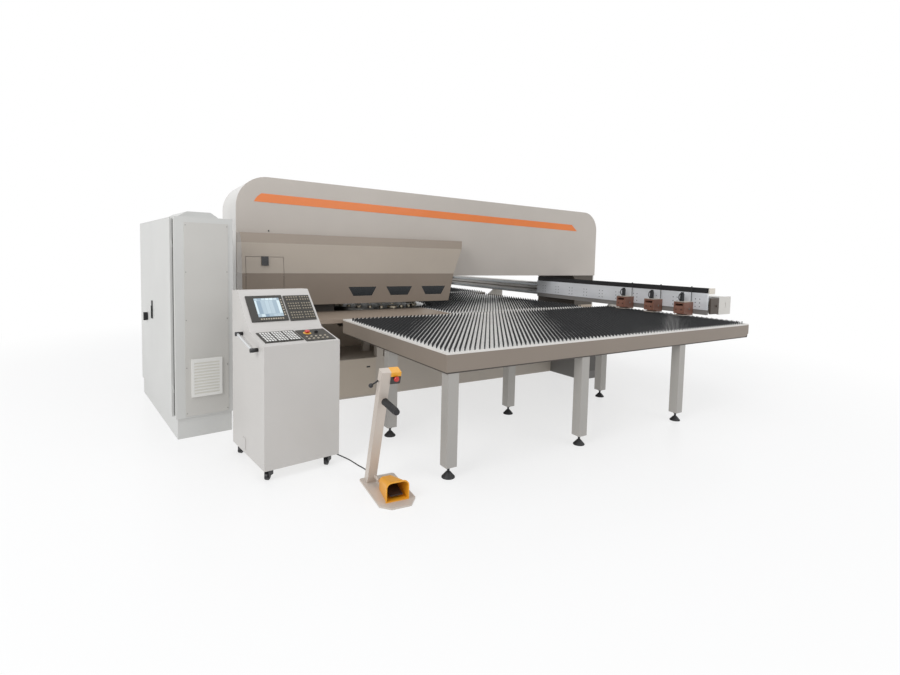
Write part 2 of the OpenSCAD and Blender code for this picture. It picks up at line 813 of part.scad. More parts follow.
module apron_plates() color("#8a7c6d") {
    front_and_rear() difference() {
        block([apron_left, -table_in + 2, rim_z - apron_edge], [apron_right, -apron_in, rim_z]);
        block([apron_left + apron_sheet, -table_in + 2 + apron_sheet, rim_z - apron_edge - 1],
            [apron_right - apron_sheet, -apron_in - apron_sheet, rim_z - apron_sheet]);
    }
}

// Puts a copy at each station, with the station's number in $i.
module at_stations() {
    for (i = [0:stations - 1]) {
        $i = i;
        $tool = tool_sizes[i % 12];
        translate([turret_x, 0, 0]) rotate([0, 0, i * 360 / stations]) translate([turret_offset, 0, 0]) children();
    }
}

module upper_turret() color("#a8a9a6") {
    difference() {
        translate([turret_x, 0, 0]) rotate_extrude($fn = 120)
            polygon([[0, upper_low], [turret_r - 8, upper_low], [turret_r, upper_low + 8], [turret_r, upper_low + upper_t - 8],
                [turret_r - 8, upper_low + upper_t], [hub_r, upper_low + upper_t], [hub_r - 30, upper_low + upper_t + hub_h],
                [shaft_r, upper_low + upper_t + hub_h], [shaft_r, shaft_top], [0, shaft_top]]);
        at_stations() translate([0, 0, upper_low - 1]) cylinder(r = $tool + run_fit, h = upper_t + 2, $fn = 32);
    }
}

module punch_tools() color("#c9b46a") {
    at_stations() rotate_extrude($fn = 32)
        polygon([[0, punch_low], [$tool * 0.5, punch_low], [$tool * 0.5, upper_low], [$tool, upper_low + 3], [$tool, upper_low + upper_t],
            [$tool + 6, upper_low + upper_t], [$tool + 6, upper_low + upper_t + 28], [$tool * 0.6, upper_low + upper_t + 34],
            [$tool * 0.6, punch_top], [0, punch_top]]);
}

module lower_turret() color("#a8a9a6") {
    difference() {
        translate([turret_x, 0, 0]) rotate_extrude($fn = 120)
            polygon([[0, throat_low + housing_flange], [shaft_r, throat_low + housing_flange], [shaft_r, lower_top - lower_t],
                [turret_r - 8, lower_top - lower_t], [turret_r, lower_top - lower_t + 8], [turret_r, lower_top - 6],
                [turret_r - 6, lower_top], [0, lower_top]]);
        at_stations() {
            translate([0, 0, lower_top - die_pocket]) cylinder(r = $tool + 10 + run_fit, h = die_pocket + 1, $fn = 32);
            translate([0, 0, lower_top - lower_t - 1]) cylinder(r = $tool * 0.7, h = lower_t, $fn = 32);
        }
    }
}

module turret_dies() color("#8f8f8c") {
    at_stations() difference() {
        translate([0, 0, lower_top - die_pocket]) cylinder(r = $tool + 10, h = die_pocket + die_over, $fn = 32);
        translate([0, 0, lower_top - die_pocket - 1]) cylinder(r = $tool * 0.55, h = die_pocket + die_over + 2, $fn = 32);
    }
}

// A bearing housing with its motor beside it, between two heights.
module turret_drive(z0, z1, flange_z, motor0, motor1) {
    translate([turret_x, 0, 0]) difference() {
        union() {
            translate([0, 0, z0]) cylinder(r = shaft_r + housing_wall, h = z1 - z0);
            translate([0, 0, flange_z]) cylinder(r = shaft_r + housing_wall + 50, h = housing_flange);
            block([-motor_reach, -motor_w / 2, motor0], [-shaft_r - 20, motor_w / 2, motor1]);
        }
        translate([0, 0, z0 - 1]) cylinder(r = shaft_r + run_fit, h = z1 - z0 + 2);
    }
}

module turret_drives() color("#5b5e60") {
    turret_drive(housing_low, throat_high, throat_high - housing_flange, punch_top + 12, throat_high);
    turret_drive(throat_low, throat_low + housing_h, throat_low, throat_low, throat_low + housing_h - 10);
}

module ram() color("#c2c4c6") {
    rotate_extrude() polygon([[0, ram_low], [ram_r - 9, ram_low], [ram_r - 9, ram_low + 26], [ram_r, ram_low + 32],
        [ram_r, ram_low + ram_length], [0, ram_low + ram_length]]);
}

module ram_drive() color("#55606a") {
    body_low = throat_high + flange_plate;
    difference() {
        union() {
            translate([0, 0, throat_high]) cylinder(r = ram_r + guide_wall, h = flange_plate + 5);
            translate([0, 0, body_low]) cylinder(r = ram_r + guide_wall + 50, h = 30);
            block([-drive_w / 2, -drive_w / 2, body_low + 30 - eps], [drive_w / 2, drive_w / 2, body_low + drive_h]);
            translate([0, 0, body_low + drive_h - eps]) cylinder(r = 95, h = 190);
        }
        translate([0, 0, throat_high - 1]) cylinder(r = ram_r + run_fit, h = ram_low + ram_length + 60 - throat_high);
    }
}

module table_skirts() color("#82766b") {
    front_and_rear() difference() {
        block([table_left, -table_out, rim_z - skirt_h], [table_right, -table_in, rim_z]);
        block([table_left + skirt_t, -table_out + skirt_t, rim_z - skirt_h - 1], [table_right - skirt_t, -table_in - skirt_t, rim_z - 3]);
        block([table_left + skirt_flange, -table_out + skirt_flange, rim_z - 4], [table_right - skirt_flange, -table_in - skirt_flange, rim_z + 1]);
        along_y(-table_out - 1, -table_out + skirt_t + 1) polygon([[table_right - skirt_bevel, rim_z - skirt_h - 1],
            [table_right + 1, rim_z - skirt_h - 1], [table_right + 1, rim_z - skirt_h + skirt_bevel * 0.6]]);
    }
}

module table_frames() color("#3b3835") {
    low = table_frame_low;
    top = board_z - board_t;
    w = table_frame_w;
    l = table_left + skirt_t;
    r = table_right - skirt_t;
    rows = [-table_out + skirt_t, -leg_y[1] - w / 2, -table_in - skirt_t - w];
    front_and_rear() {
        for (y = rows)
            block([l, y, low], [r, y + w, top]);
        for (i = [0, 1]) {
            for (x = [l, r - w])
                block([x, rows[i] + w + seam, low], [x + w, rows[i + 1] - seam, top]);
            for (x = cross_x)
                block([x - w / 2, rows[i] + w + seam, top - cross_h], [x + w / 2, rows[i + 1] - seam, top]);
        }
    }
    // centre table: two long members, cross members and posts on the frame
    for (y = [-centre_half + 5, centre_half - 5 - w])
        block([centre_left + 5, y, top - cross_h], [centre_right - 5, y + w, top]);
    for (i = [0:3]) {
        x = centre_left + 400 + i * (centre_right - centre_left - 405 - w) / 3;
        block([x, -centre_half + 5 + w + seam, top - cross_h], [x + w, centre_half - 5 - w - seam, top]);
        for (y = [-380, 380])
            block([x, y - w / 2, throat_low], [x + w, y + w / 2, top - cross_h - seam]);
    }
}

// Puts a copy at each of the twelve legs.
module at_legs() {
    for (s = [-1, 1], x = leg_x, y = leg_y)
        translate([x, s * y, 0]) children();
}

module table_legs() color("#8f8b86") {
    at_legs() difference() {
        block([-leg_w / 2, -leg_w / 2, leg_low], [leg_w / 2, leg_w / 2, table_frame_low]);
        block([-leg_w / 2 + leg_wall, -leg_w / 2 + leg_wall, leg_low + 10], [leg_w / 2 - leg_wall, leg_w / 2 - leg_wall, table_frame_low + 1]);
    }
}

module levelling_feet() color("#1d1d1f") {
    at_legs() rotate_extrude($fn = 24) polygon([[0, 0], [foot_r, 0], [foot_r, 6], [stud_r + 8, foot_cone], [stud_r, foot_cone],
        [stud_r, leg_low - 14], [stud_r + 8, leg_low - 14], [stud_r + 8, leg_low], [0, leg_low]]);
}

// A row of boards between two corners.
module board_row(x0, x1, y0, y1, n) {
    step = (x1 - x0 + board_gap) / n;
    for (i = [0:n - 1])
        block([x0 + i * step, y0, board_z - board_t], [x0 + (i + 1) * step - board_gap, y1, board_z]);
}

module table_boards() color("#d9d8d4") {
    front_and_rear()
        board_row(table_left + skirt_t + 2, table_right - skirt_t - 2, -table_out + skirt_t + 2, -table_in - skirt_t - 2, board_count);
    difference() {
        board_row(centre_left, centre_right, -centre_half, centre_half, 4);
        translate([turret_x, 0, board_z - board_t - 1]) cylinder(r = turret_r + turret_gap, h = board_t + 2, $fn = 120);
    }
}

module brush_strips() color("#1f1f21") {
    inset = skirt_flange + 14;
    front_and_rear() for (y = [-table_out + inset:brush_pitch:-table_in - inset])
        block([table_left + inset, y, board_z], [table_right - inset, y + brush_w, board_z + brush_h]);
    difference() {
        for (y = [-centre_half + 20:brush_pitch:centre_half - 20])
            block([centre_left + 15, y, board_z], [centre_right - 15, y + brush_w, board_z + brush_h]);
        translate([turret_x, 0, board_z - 1]) cylinder(r = turret_r + turret_gap + 12, h = brush_h + 2, $fn = 120);
    }
}

module rail_beams() color("#6f6d69") {
    front_and_rear() difference() {
        block([centre_left, -rail_y - rail_beam_w / 2, rail_beam_low], [rail_right, -rail_y + rail_beam_w / 2, rail_beam_z]);
        block([centre_left - 1, -rail_y - rail_beam_w / 2 + 8, rail_beam_low + 8], [rail_right + 1, -rail_y + rail_beam_w / 2 - 8, rail_beam_z - 8]);
    }
}

module beam_rails() color("#9fa2a4") {
    front_and_rear() along_x(centre_left + 30, rail_right - 20) translate([-rail_y, rail_beam_z]) rail_profile(rail_w, rail_h, 0);
}

module cross_beam() color("#c9c6c0") {
    difference() {
        block([beam_left, -beam_half, beam_low], [beam_right, beam_half, beam_top]);
        block([beam_left + beam_wall, -beam_half + beam_wall, beam_low + beam_wall], [beam_right - beam_wall, beam_half - beam_wall, beam_top - beam_wall]);
    }
    low = rail_beam_z + rail_h + 35;
    left = beam_right - bracket_l - 5;
    front_and_rear() {
        // end cap with a slot
        difference() {
            block([beam_left - 18, -beam_half - drive_plate, beam_low - 6], [beam_right + 12, -beam_half - seam, beam_top + 6]);
            block([beam_left + 120, -beam_half - drive_plate - 1, beam_low + 70], [beam_left + 128, -beam_half - drive_plate + 8, beam_low + 140]);
        }
        along_y(-rail_y - bracket_t / 2, -rail_y + bracket_t / 2) polygon([[left, low], [beam_right - 5, low], [beam_right - 5, beam_low - seam],
            [beam_left + 2, beam_low - seam], [left, low + 80]]);
        for (x = [left, beam_right - 5 - block_l])
            difference() {
                block([x, -rail_y - 35, rail_beam_z + 12], [x + block_l, -rail_y + 35, low - seam]);
                along_x(x - 1, x + block_l + 1) translate([-rail_y, rail_beam_z]) rail_profile(rail_w, rail_h, slide_gap);
            }
    }
}

// Turns a profile drawn on a floor so that it stands on the beam's left face.
module on_beam_face(y0, y1, z) {
    translate([beam_left, y1, z]) rotate([90, 0, 0]) linear_extrude(y1 - y0) rotate(90) children();
}

module carriage_rails() color("#9fa2a4") {
    for (z = guide_z)
        on_beam_face(-beam_half + 14, beam_half - 14, z) rail_profile(guide_w, guide_w, 0);
}

module clamp_carriage() color("#b9bcbd") {
    near = -beam_half;
    block([plate_x, near, plate_low], [plate_x + plate_t, near + plate_l, plate_top]);
    block([plate_x + 6, near + 4, plate_low - clamp_bar_h], [plate_x + 6 + clamp_bar_w, near + plate_l - 4, plate_low + 1]);
    for (i = [0:4])
        translate([0, near + 140 + i * bearing_pitch - block_l / 2, 0]) difference() {
            union() {
                block([plate_x + plate_t - eps, 0, guide_z[0] - 24], [beam_left - 70, block_l, guide_z[1] + 24]);
                for (z = guide_z)
                    block([beam_left - 71, 0, z - 24], [beam_left - slide_gap - 8, block_l, z + 24]);
            }
            for (z = guide_z)
                on_beam_face(-1, block_l + 1, z) rail_profile(guide_w, guide_w, slide_gap);
            translate([beam_left - 70, -1, (guide_z[0] + guide_z[1]) / 2]) rotate([-90, 0, 0]) cylinder(r = screw_r + 1, h = block_l + 2);
        }
}

module carriage_drive() color("#3f4346") {
    mid = (guide_z[0] + guide_z[1]) / 2;
    end = beam_half + drive_plate;
    for (y = [-end, beam_half])
        difference() {
            block([plate_x + 40, y, beam_low + 4], [beam_left - 18 - seam, y + drive_plate, beam_top - 8]);
            translate([beam_left - 70, y - 1, mid]) rotate([-90, 0, 0]) cylinder(r = screw_r + slide_gap, h = drive_plate + 2);
        }
    translate([beam_left - 70, -end - 12, mid]) rotate([-90, 0, 0]) cylinder(r = screw_r, h = 2 * end + 12);
    block([plate_x + 60, end + seam, mid - 60], [plate_x + 180, end + 190, mid + 60]);
}

module cable_tray() color("#1b1b1d") {
    difference() {
        block([plate_x, -beam_half + 14, plate_top], [plate_x + tray_w, -beam_half + plate_l - 16, plate_top + tray_h]);
        block([plate_x + tray_sheet, -beam_half + 14 + tray_sheet, plate_top + tray_sheet],
            [plate_x + tray_w - tray_sheet, -beam_half + plate_l - 16 - tray_sheet, plate_top + tray_h + 1]);
    }
    // junction box at the near end
    block([plate_x + 20, -beam_half - 12, plate_top - 10], [plate_x + 135, -beam_half - seam, plate_top + tray_h]);
    block([plate_x + 20, -beam_half - eps, plate_top + seam], [plate_x + tray_w, -beam_half + 14 - seam, plate_top + tray_h]);
}

// A sheet clamp centred on y, without its hinged jaw.
module clamp_body(y) {
    back = clamp_left + 140;
    half = clamp_w / 2 - cheek_t;
    translate([0, y, 0]) {
        difference() {
            along_y(-clamp_w / 2, clamp_w / 2) polygon([[clamp_left, clamp_low], [plate_x - slide_gap, clamp_low], [plate_x - slide_gap, clamp_top],
                [clamp_left + 6, clamp_top], [clamp_left + 6, mouth_top + 6], [clamp_left, mouth_low]]);
            block([clamp_left - 1, -clamp_w, mouth_low], [clamp_left + 70, clamp_w, mouth_top]);
            block([clamp_left - 1, -half, mouth_low], [clamp_left + 97, half, clamp_low + 142]);
            block([clamp_left + 96, -half, mouth_low + 24], [back, half, clamp_low + 142]);
        }
        translate([jaw_pin[0], -clamp_w / 2 + 2, jaw_pin[1]]) rotate([-90, 0, 0]) cylinder(r = jaw_pin_r, h = clamp_w - 4);
        // top plate, cylinder and sensor rod
        block([clamp_left - 4, -clamp_w / 2 + 8, clamp_top - 1], [back, clamp_w / 2 - 8, clamp_top + 6]);
        translate([cyl_x, 0, clamp_top]) cylinder(r = cyl_r, h = cyl_top - clamp_top - 20);
        translate([cyl_x, 0, clamp_top]) cylinder(r = cyl_r - 6, h = cyl_top - clamp_top);
        translate([back + 14, -clamp_w / 2 + 10, clamp_top - 1]) cylinder(r = rod_r, h = rod_top - clamp_top - 7, $fn = 16);
        translate([back + 14, -clamp_w / 2 + 10, rod_top - 12]) cylinder(r = 2 * rod_r, h = 12, $fn = 16);
        // the hose bows forward from the cylinder's top down to the top plate
        translate([cyl_x - 20, 0, (cyl_top + clamp_top) / 2]) rotate([90, 0, 0]) {
            rotate([0, 0, 90]) rotate_extrude(angle = 180, $fn = 32) translate([(cyl_top - clamp_top) / 2 - 12, 0]) circle(r = hose_r, $fn = 12);
            for (z = [-1, 1])
                translate([0, z * ((cyl_top - clamp_top) / 2 - 12), 0]) rotate([0, 90, 0]) cylinder(r = hose_r, h = 20, $fn = 12);
        }
    }
}

// The hinged jaw of the clamp at y.
module clamp_jaw(y) {
    half = clamp_w / 2 - cheek_t - slide_gap;
    top = jaw_pin[1] + 39;
    translate([0, y, 0]) difference() {
        along_y(-half, half) polygon([[clamp_left, mouth_top], [clamp_left + 90, mouth_top], [clamp_left + 96, mouth_top + 14], [clamp_left + 122, mouth_top + 22],
            [clamp_left + 126, top], [clamp_left + 60, top + 6], [clamp_left + 4, top - 8], [clamp_left, top - 26]]);
        translate([jaw_pin[0], -half - 1, jaw_pin[1]]) rotate([-90, 0, 0]) cylinder(r = jaw_pin_r + run_fit, h = 2 * half + 2);
    }
}

module at_cabinet() {
    translate([cabinet_at[0], cabinet_at[1], 0]) rotate([0, 0, cabinet_turn]) children();
}

module cabinet_body() color("#c5c5c2") {
    s = cabinet_sheet;
    at_cabinet() {
        difference() {
            block([0, 0, plinth_h - 1], [cabinet_w, cabinet_d, cabinet_h]);
            block([s, s, plinth_h + s], [cabinet_w - s, cabinet_d - s, cabinet_h - s]);
            block([-1, cab_door_at - 4, plinth_h + 26], [s + 1, cab_door_at + cab_door_w + 4, cabinet_h - 26]);
            block([filter_left + 20, -1, filter_low + 20], [filter_left + filter_w - 20, s + 1, filter_low + filter_h - 20]);
            translate([-1, switch_at, switch_z]) rotate([0, 90, 0]) cylinder(r = spindle_r + run_fit, h = s + 2, $fn = 24);
        }
        difference() {
            block([12, 10, 0], [cabinet_w - 12, cabinet_d - 10, plinth_h]);
            block([15, 13, -1], [cabinet_w - 15, cabinet_d - 13, plinth_h - 3]);
        }
        // roof units
        for (d = [[250, 640, 62], [900, 420, 40]])
            translate([0, d[0], cabinet_h - 1]) along_y(0, d[1])
                polygon([[70, 0], [cabinet_w - 50, 0], [cabinet_w - 60, d[2] * 0.35], [cabinet_w - 120, d[2]], [150, d[2]], [80, d[2] * 0.3]]);
        // mounting plate with drive units
        block([cabinet_w - 40, 60, plinth_h + s - eps], [cabinet_w - 36, cabinet_d - 60, cabinet_h - 60]);
        for (i = [0:4])
            block([cabinet_w - 200, 160 + i * 200, 1000], [cabinet_w - 40 + eps, 310 + i * 200, 1350]);
        // hinge eyes
        for (z = [plinth_h + 220, cabinet_h - 260])
            translate([-7.4, cab_door_at - 6, z]) {
                cylinder(r = 4, h = 29.7, $fn = 24);
                block([-4, -8, 0], [8, 0, 29.7]);
            }
    }
}

module cabinet_front_panel() color("#c0bfba") {
    at_cabinet() difference() {
        block([front_left, -4, plinth_h + 12], [front_right, 0, front_top]);
        block([filter_left + 18, -5, filter_low + 18], [filter_left + filter_w - 18, 1, filter_low + filter_h - 18]);
    }
}

module filter_grille() color("#e4e3df") {
    at_cabinet() difference() {
        block([filter_left, -4 - filter_t, filter_low], [filter_left + filter_w, -4, filter_low + filter_h]);
        for (i = [0:10])
            block([filter_left + 22, -5 - filter_t, filter_low + 24 + i * 26], [filter_left + filter_w - 22, -3, filter_low + 38 + i * 26]);
    }
}

module cabinet_door() color("#c9c9c6") {
    at_cabinet() {
        difference() {
            block([-cab_door_t, cab_door_at, plinth_h + 12], [-slide_gap, cab_door_at + cab_door_w, cabinet_h - 12]);
            block([-cab_door_t + 3, cab_door_at + 3, plinth_h + 15], [0, cab_door_at + cab_door_w - 3, cabinet_h - 15]);
            block([-cab_door_t - 1, handle_at - 20, handle_low + 8], [-cab_door_t + 4, handle_at + 20, handle_low + handle_h - 50]);
            translate([-cab_door_t - 1, handle_at, handle_low + handle_h - 20]) rotate([0, 90, 0])
                cylinder(r = spindle_r + run_fit, h = 5, $fn = 24);
        }
        block([-cab_door_t + 2, handle_at - 26, handle_low - 6], [-slide_gap, handle_at - 21, handle_low + handle_h + 6]);
        for (z = [plinth_h + 220, cabinet_h - 260])
            translate([-7.4, cab_door_at - 6, z + 30]) {
                cylinder(r = 4, h = 30, $fn = 24);
                block([-4, 0, 0], [4, 8, 30]);
            }
    }
}

// A turning handle over a shallow dish, pivoted at its top.
module door_handle() color("#1c1c1e") {
    at_cabinet() translate([-cab_door_t - slide_gap, 0, 0]) {
        block([-9, handle_at - 14, handle_low + 4], [0, handle_at + 14, handle_low + handle_h]);
        block([-14, handle_at - 10, handle_low + 10], [-8, handle_at + 10, handle_low + handle_h - 50]);
        translate([-1, handle_at, handle_low + handle_h - 20]) rotate([0, 90, 0]) cylinder(r = spindle_r, h = 14, $fn = 24);
    }
}

module main_switch() color("#1c1c1e") {
    at_cabinet() translate([-slide_gap, switch_at, switch_z]) rotate([0, -90, 0]) {
        cylinder(r = switch_r, h = 8);
        cylinder(r = switch_r * 0.62, h = 20);
        block([-switch_r, -9, 6], [switch_r, 9, 38]);
        translate([0, 0, -16]) cylinder(r = spindle_r, h = 17, $fn = 24);
    }
}

module at_console() {
    translate([console_at[0], console_at[1], 0]) rotate([0, 0, console_turn]) children();
}

// Puts flat work on the sloping deck, with y up the slope.
module on_deck() {
    translate([0, 0, deck_front]) rotate([atan2(deck_rear - deck_front, deck_d), 0, 0]) children();
}

// Puts flat work on the screen face, with y up the slope.
module on_face() {
    translate([0, deck_d, deck_rear]) rotate([atan2(face_top - deck_rear, face_d - deck_d), 0, 0]) children();
}

module console_side(d) {
    offset(delta = -d) polygon([[0, console_low], [0, deck_front], [deck_d, deck_rear], [face_d, face_top], [console_d, face_top - 4], [console_d, console_low]]);
}

module at_casters() {
    for (x = [caster_in, console_w - caster_in], y = [caster_in, console_d - caster_in])
        translate([x, y, 0]) children();
}

module console_body() color("#b3aeaa") {
    s = console_sheet;
    at_console() {
        difference() {
            union() {
                difference() {
                    along_x(0, console_w) console_side(0);
                    along_x(s, console_w - s) console_side(s);
                }
                at_casters() block([-35, -35, console_low - 6], [35, 35, console_low + eps]);
            }
            on_face() block([70, 110, -10], [270, 300, 10]);
            on_deck() block([350, 60, -10], [520, 220, 10]);
            block([-1, 420, 120], [s + 1, 470, 180]);
            at_casters() cylinder(r = 6 + run_fit, h = console_low + 10, $fn = 24);
        }
        // hatch on the left side
        block([-4, 406, 108], [0.5, 479, 196]);
        // handle lugs on the left side
        for (p = [[127, 922], [468, 993]])
            translate([-handle_gap - 2 * bar_r - 2, p[0], p[1]]) rotate([0, 90, 0]) cylinder(r = 13, h = handle_gap + 2 * bar_r + 2 + eps, $fn = 24);
        // cable gland on the right side
        translate([console_w - 1, 350, 120]) rotate([0, 90, 0]) cylinder(r = 11, h = 15, $fn = 24);
    }
}

module screen_panel() color("#2a2b2d") {
    at_console() on_face() difference() {
        block([40, 80, 0], [panel_edge, panel_high, screen_t]);
        block([100, 119, screen_t - 2], [255, 298, screen_t + 1]);
    }
}

module key_panels() color("#3a3b3e") {
    at_console() {
        on_face() {
            block([panel_edge + 13, 73, 0], [keys_edge, panel_high - 5, keys_t]);
            for (i = [0:5], j = [0:5])
                translate([352 + i * 32, 92 + j * 37, keys_t - eps]) cube([22, 24, 2.5]);
        }
        on_deck() {
            block([30, 62, 0], [310, 272, keys_t]);
            for (i = [0:8], j = [0:4])
                translate([44 + i * 28.5, 76 + j * 37, keys_t - eps]) cube([22, 28, 3]);
            difference() {
                block([panel_edge, 30, 0], [keys_edge, 262, keys_t]);
                translate([389, 190, -1]) cylinder(r = 8.05, h = keys_t + 2, $fn = 24);
                translate([460, 187, -1]) cylinder(r = 5.05, h = keys_t + 2, $fn = 24);
            }
        }
    }
}

// A mushroom head button with its stem, resting over z = 0.
module stop_button(r, stem) {
    translate([0, 0, -stem]) cylinder(r = 8, h = stem + estop_travel + 3, $fn = 24);
    translate([0, 0, estop_travel + 1]) rotate_extrude($fn = 32)
        polygon([[0, 0], [r * 0.8, 0], [r, 4], [r, 9], [r * 0.86, 14], [r * 0.5, 16], [0, 16]]);
}

module console_estop() color("#c8241d") {
    at_console() on_deck() translate([389, 190, keys_t]) stop_button(estop_r, keys_t + 6);
}

module console_knob() color("#1c1c1e") {
    at_console() on_deck() translate([460, 187, keys_t + slide_gap]) {
        cylinder(r = knob_r, h = 14, $fn = 32);
        translate([-3, -knob_r, 13]) cube([6, 2 * knob_r, 5]);
        translate([0, 0, -keys_t - 4]) cylinder(r = 5, h = keys_t + 5, $fn = 24);
    }
}

module console_handle() color("#c4c5c6") {
    at_console() {
        run = sqrt(pow(468 - 127, 2) + pow(993 - 922, 2));
        translate([-handle_gap - bar_r, 127, 922]) rotate([-90 + atan2(993 - 922, 468 - 127), 0, 0]) translate([0, 0, 13.3])
            cylinder(r = bar_r, h = run - 26.6, $fn = 24);
    }
}

module caster() color("#1b1b1d") {
    z = console_low - 6;
    translate([0, 0, z - 8]) cylinder(r = 6, h = 20, $fn = 24);
    translate([0, 0, z - 8]) cylinder(r = 20, h = 7.7, $fn = 24);
    difference() {
        block([-18, -trail - 14, wheel_r], [18, 16, z - 7]);
        block([-wheel_w / 2 - 1.5, -trail - 15, wheel_r - 1], [wheel_w / 2 + 1.5, 17, z - 11]);
    }
    translate([-18, -trail, wheel_r]) rotate([0, 90, 0]) cylinder(r = 6, h = 36, $fn = 24);
    for (x = [-18, 14])
        block([x, -trail - 10, wheel_r - 8], [x + 4, -trail + 10, wheel_r + 5]);
    translate([-wheel_w / 2, -trail, wheel_r]) rotate([0, 90, 0]) cylinder(r = wheel_r, h = wheel_w, $fn = 40);
}

module caster_at(i, j) {
    at_console() translate([i > 0 ? console_w - caster_in : caster_in, j > 0 ? console_d - caster_in : caster_in, 0]) rotate([0, 0, -50]) caster();
}

module at_stand() {
    translate([stand_at[0], stand_at[1], 0]) rotate([0, 0, stand_turn]) children();
}

// Puts work along the leaning post, with z up the post.
module on_post() {
    translate([post_foot[0], post_foot[1], stand_t]) rotate([post_lean, 0, 0]) children();
}

module pedal_stand() color("#c2b8ae") {
    w = stand_w / 2;
    b = stand_bevel;
    at_stand() {
        linear_extrude(stand_t) polygon([[-w, -12], [-w + 12, 0], [w - 12, 0], [w, -12], [w, -stand_l + b * 1.4], [w - b, -stand_l],
            [-w + b, -stand_l], [-w, -stand_l + b]]);
        difference() {
            on_post() block([-post_tube / 2, -post_tube / 2, -40], [post_tube / 2, post_tube / 2, post_length]);
            block([-400, -800, -200], [400, 400, stand_t - eps]);
        }
        on_post() {
            // grip on the front of the post
            translate([8, -post_tube / 2 + 1, 683]) rotate([92 - post_lean, 0, 0]) cylinder(r = grip_r, h = grip_l);
            // rod with a ball knob on the left
            translate([-post_tube / 2 - 50, 8, 787]) rotate([0, 55, 0]) cylinder(r = 5, h = 64, $fn = 16);
            translate([-post_tube / 2 - 50, 8, 787]) sphere(r = 15, $fn = 24);
        }
        // conduit to the pedal switch, and the cable gland at the rear
        translate([-44, post_foot[1] - 30, 57]) rotate([90, 0, 0]) cylinder(r = 11, h = post_foot[1] - 30 - stand_mid - hood_mouth - pedal_hood_d, $fn = 24);
        translate([post_foot[0], post_foot[1] + 16, 60]) rotate([-90, 0, 0]) cylinder(r = 10, h = 22, $fn = 24);
    }
}

module estop_box() color("#e8a92a") {
    at_stand() on_post() difference() {
        block([post_tube / 2, -38, post_length - 85], [post_tube / 2 + 68, 34, post_length]);
        translate([post_tube / 2 + 34, -39, post_length - 42]) rotate([-90, 0, 0]) cylinder(r = 8.05, h = 30, $fn = 24);
    }
}

module pedal_estop() color("#c8241d") {
    at_stand() on_post() translate([post_tube / 2 + 34, -38, post_length - 42]) rotate([90, 0, 0]) stop_button(18, 20);
}

// The arched section of the pedal hood, w wide and h high.
module arch(w, h, r) {
    polygon(concat([[-w / 2, 0]], arc(r - w / 2, h - r, r, 180, 90, 6), arc(w / 2 - r, h - r, r, 90, 0, 6), [[w / 2, 0]]));
}

module switch_hood() color("#e8a92a") {
    t = pedal_hood_wall;
    d = pedal_hood_d;
    at_stand() translate([0, stand_mid + hood_mouth, stand_t]) {
        difference() {
            union() {
                hull() {
                    along_y(0, 1) arch(pedal_hood_w, pedal_hood_h, 36);
                    along_y(d - 30, d - 29) arch(pedal_rear_w, pedal_rear_h, 30);
                    along_y(d - 1, d) arch(pedal_rear_w - 20, pedal_rear_h - 14, 26);
                }
                along_y(0, 7) arch(pedal_hood_w + 8, pedal_hood_h + 4, 40);
            }
            translate([0, 0, 8]) hull() {
                along_y(-1, 0) arch(pedal_hood_w - 2 * t, pedal_hood_h - t - 8, 31);
                along_y(d - 32, d - 31) arch(pedal_rear_w - 2 * t, pedal_rear_h - t - 8, 25);
                along_y(d - t - 1, d - t) arch(pedal_rear_w - 2 * t - 20, pedal_rear_h - t - 22, 21);
            }
        }
        // pin for the pedal
        translate([-57, pedal_pin, 40]) rotate([0, 90, 0]) cylinder(r = 5, h = 114, $fn = 24);
    }
}

module foot_pedal() color("#2a2a2c") {
    w = pedal_rear_w / 2 - 8;
    at_stand() translate([0, stand_mid + hood_mouth + pedal_pin, stand_t]) difference() {
        along_x(-w, w) polygon([[-142, 28], [-142, 36], [-20, 52], [8, 50], [10, 34], [0, 30], [-20, 40]]);
        translate([-w - 1, 0, 40]) rotate([0, 90, 0]) cylinder(r = 5 + run_fit, h = 2 * w + 2, $fn = 24);
    }
}

// The cable between the console and the foot station, as points on its centre line.
cable_path = [[-2140.8, -2525.3, 120], [-2134.8, -2524.6, 120], [-2128.9, -2523.9, 120], [-2110, -2523, 113], [-2096, -2528, 88],
    [-2088, -2543, 52], [-2084, -2575, 22], [-2081, -2622, 6], [-2070, -2680, 4.5], [-2054, -2738, 4.5], [-2035, -2800, 4.5],
    [-2019, -2864, 4.5], [-2009, -2925, 4.5], [-2001, -2983, 4.5], [-1990, -3035, 4.5], [-1982, -3090, 4.5], [-1984, -3140, 6],
    [-1996, -3180, 18], [-2012, -3208, 38], [-2024, -3225, 54], [-2028.6, -3236.6, 60], [-2029.1, -3242.5, 60], [-2029.7, -3248.5, 60]];

function catmull(a, b, c, d, t) = 0.5 * (2 * b + (c - a) * t + (2 * a - 5 * b + 4 * c - d) * t * t + (3 * b - a - 3 * c + d) * t * t * t);
cable_n = len(cable_path);
cable_rings = [for (i = [0:cable_n - 2], k = [0:2]) catmull(cable_path[max(0, i - 1)], cable_path[i], cable_path[i + 1],
    cable_path[min(cable_n - 1, i + 2)], k / 3), cable_path[cable_n - 1]];

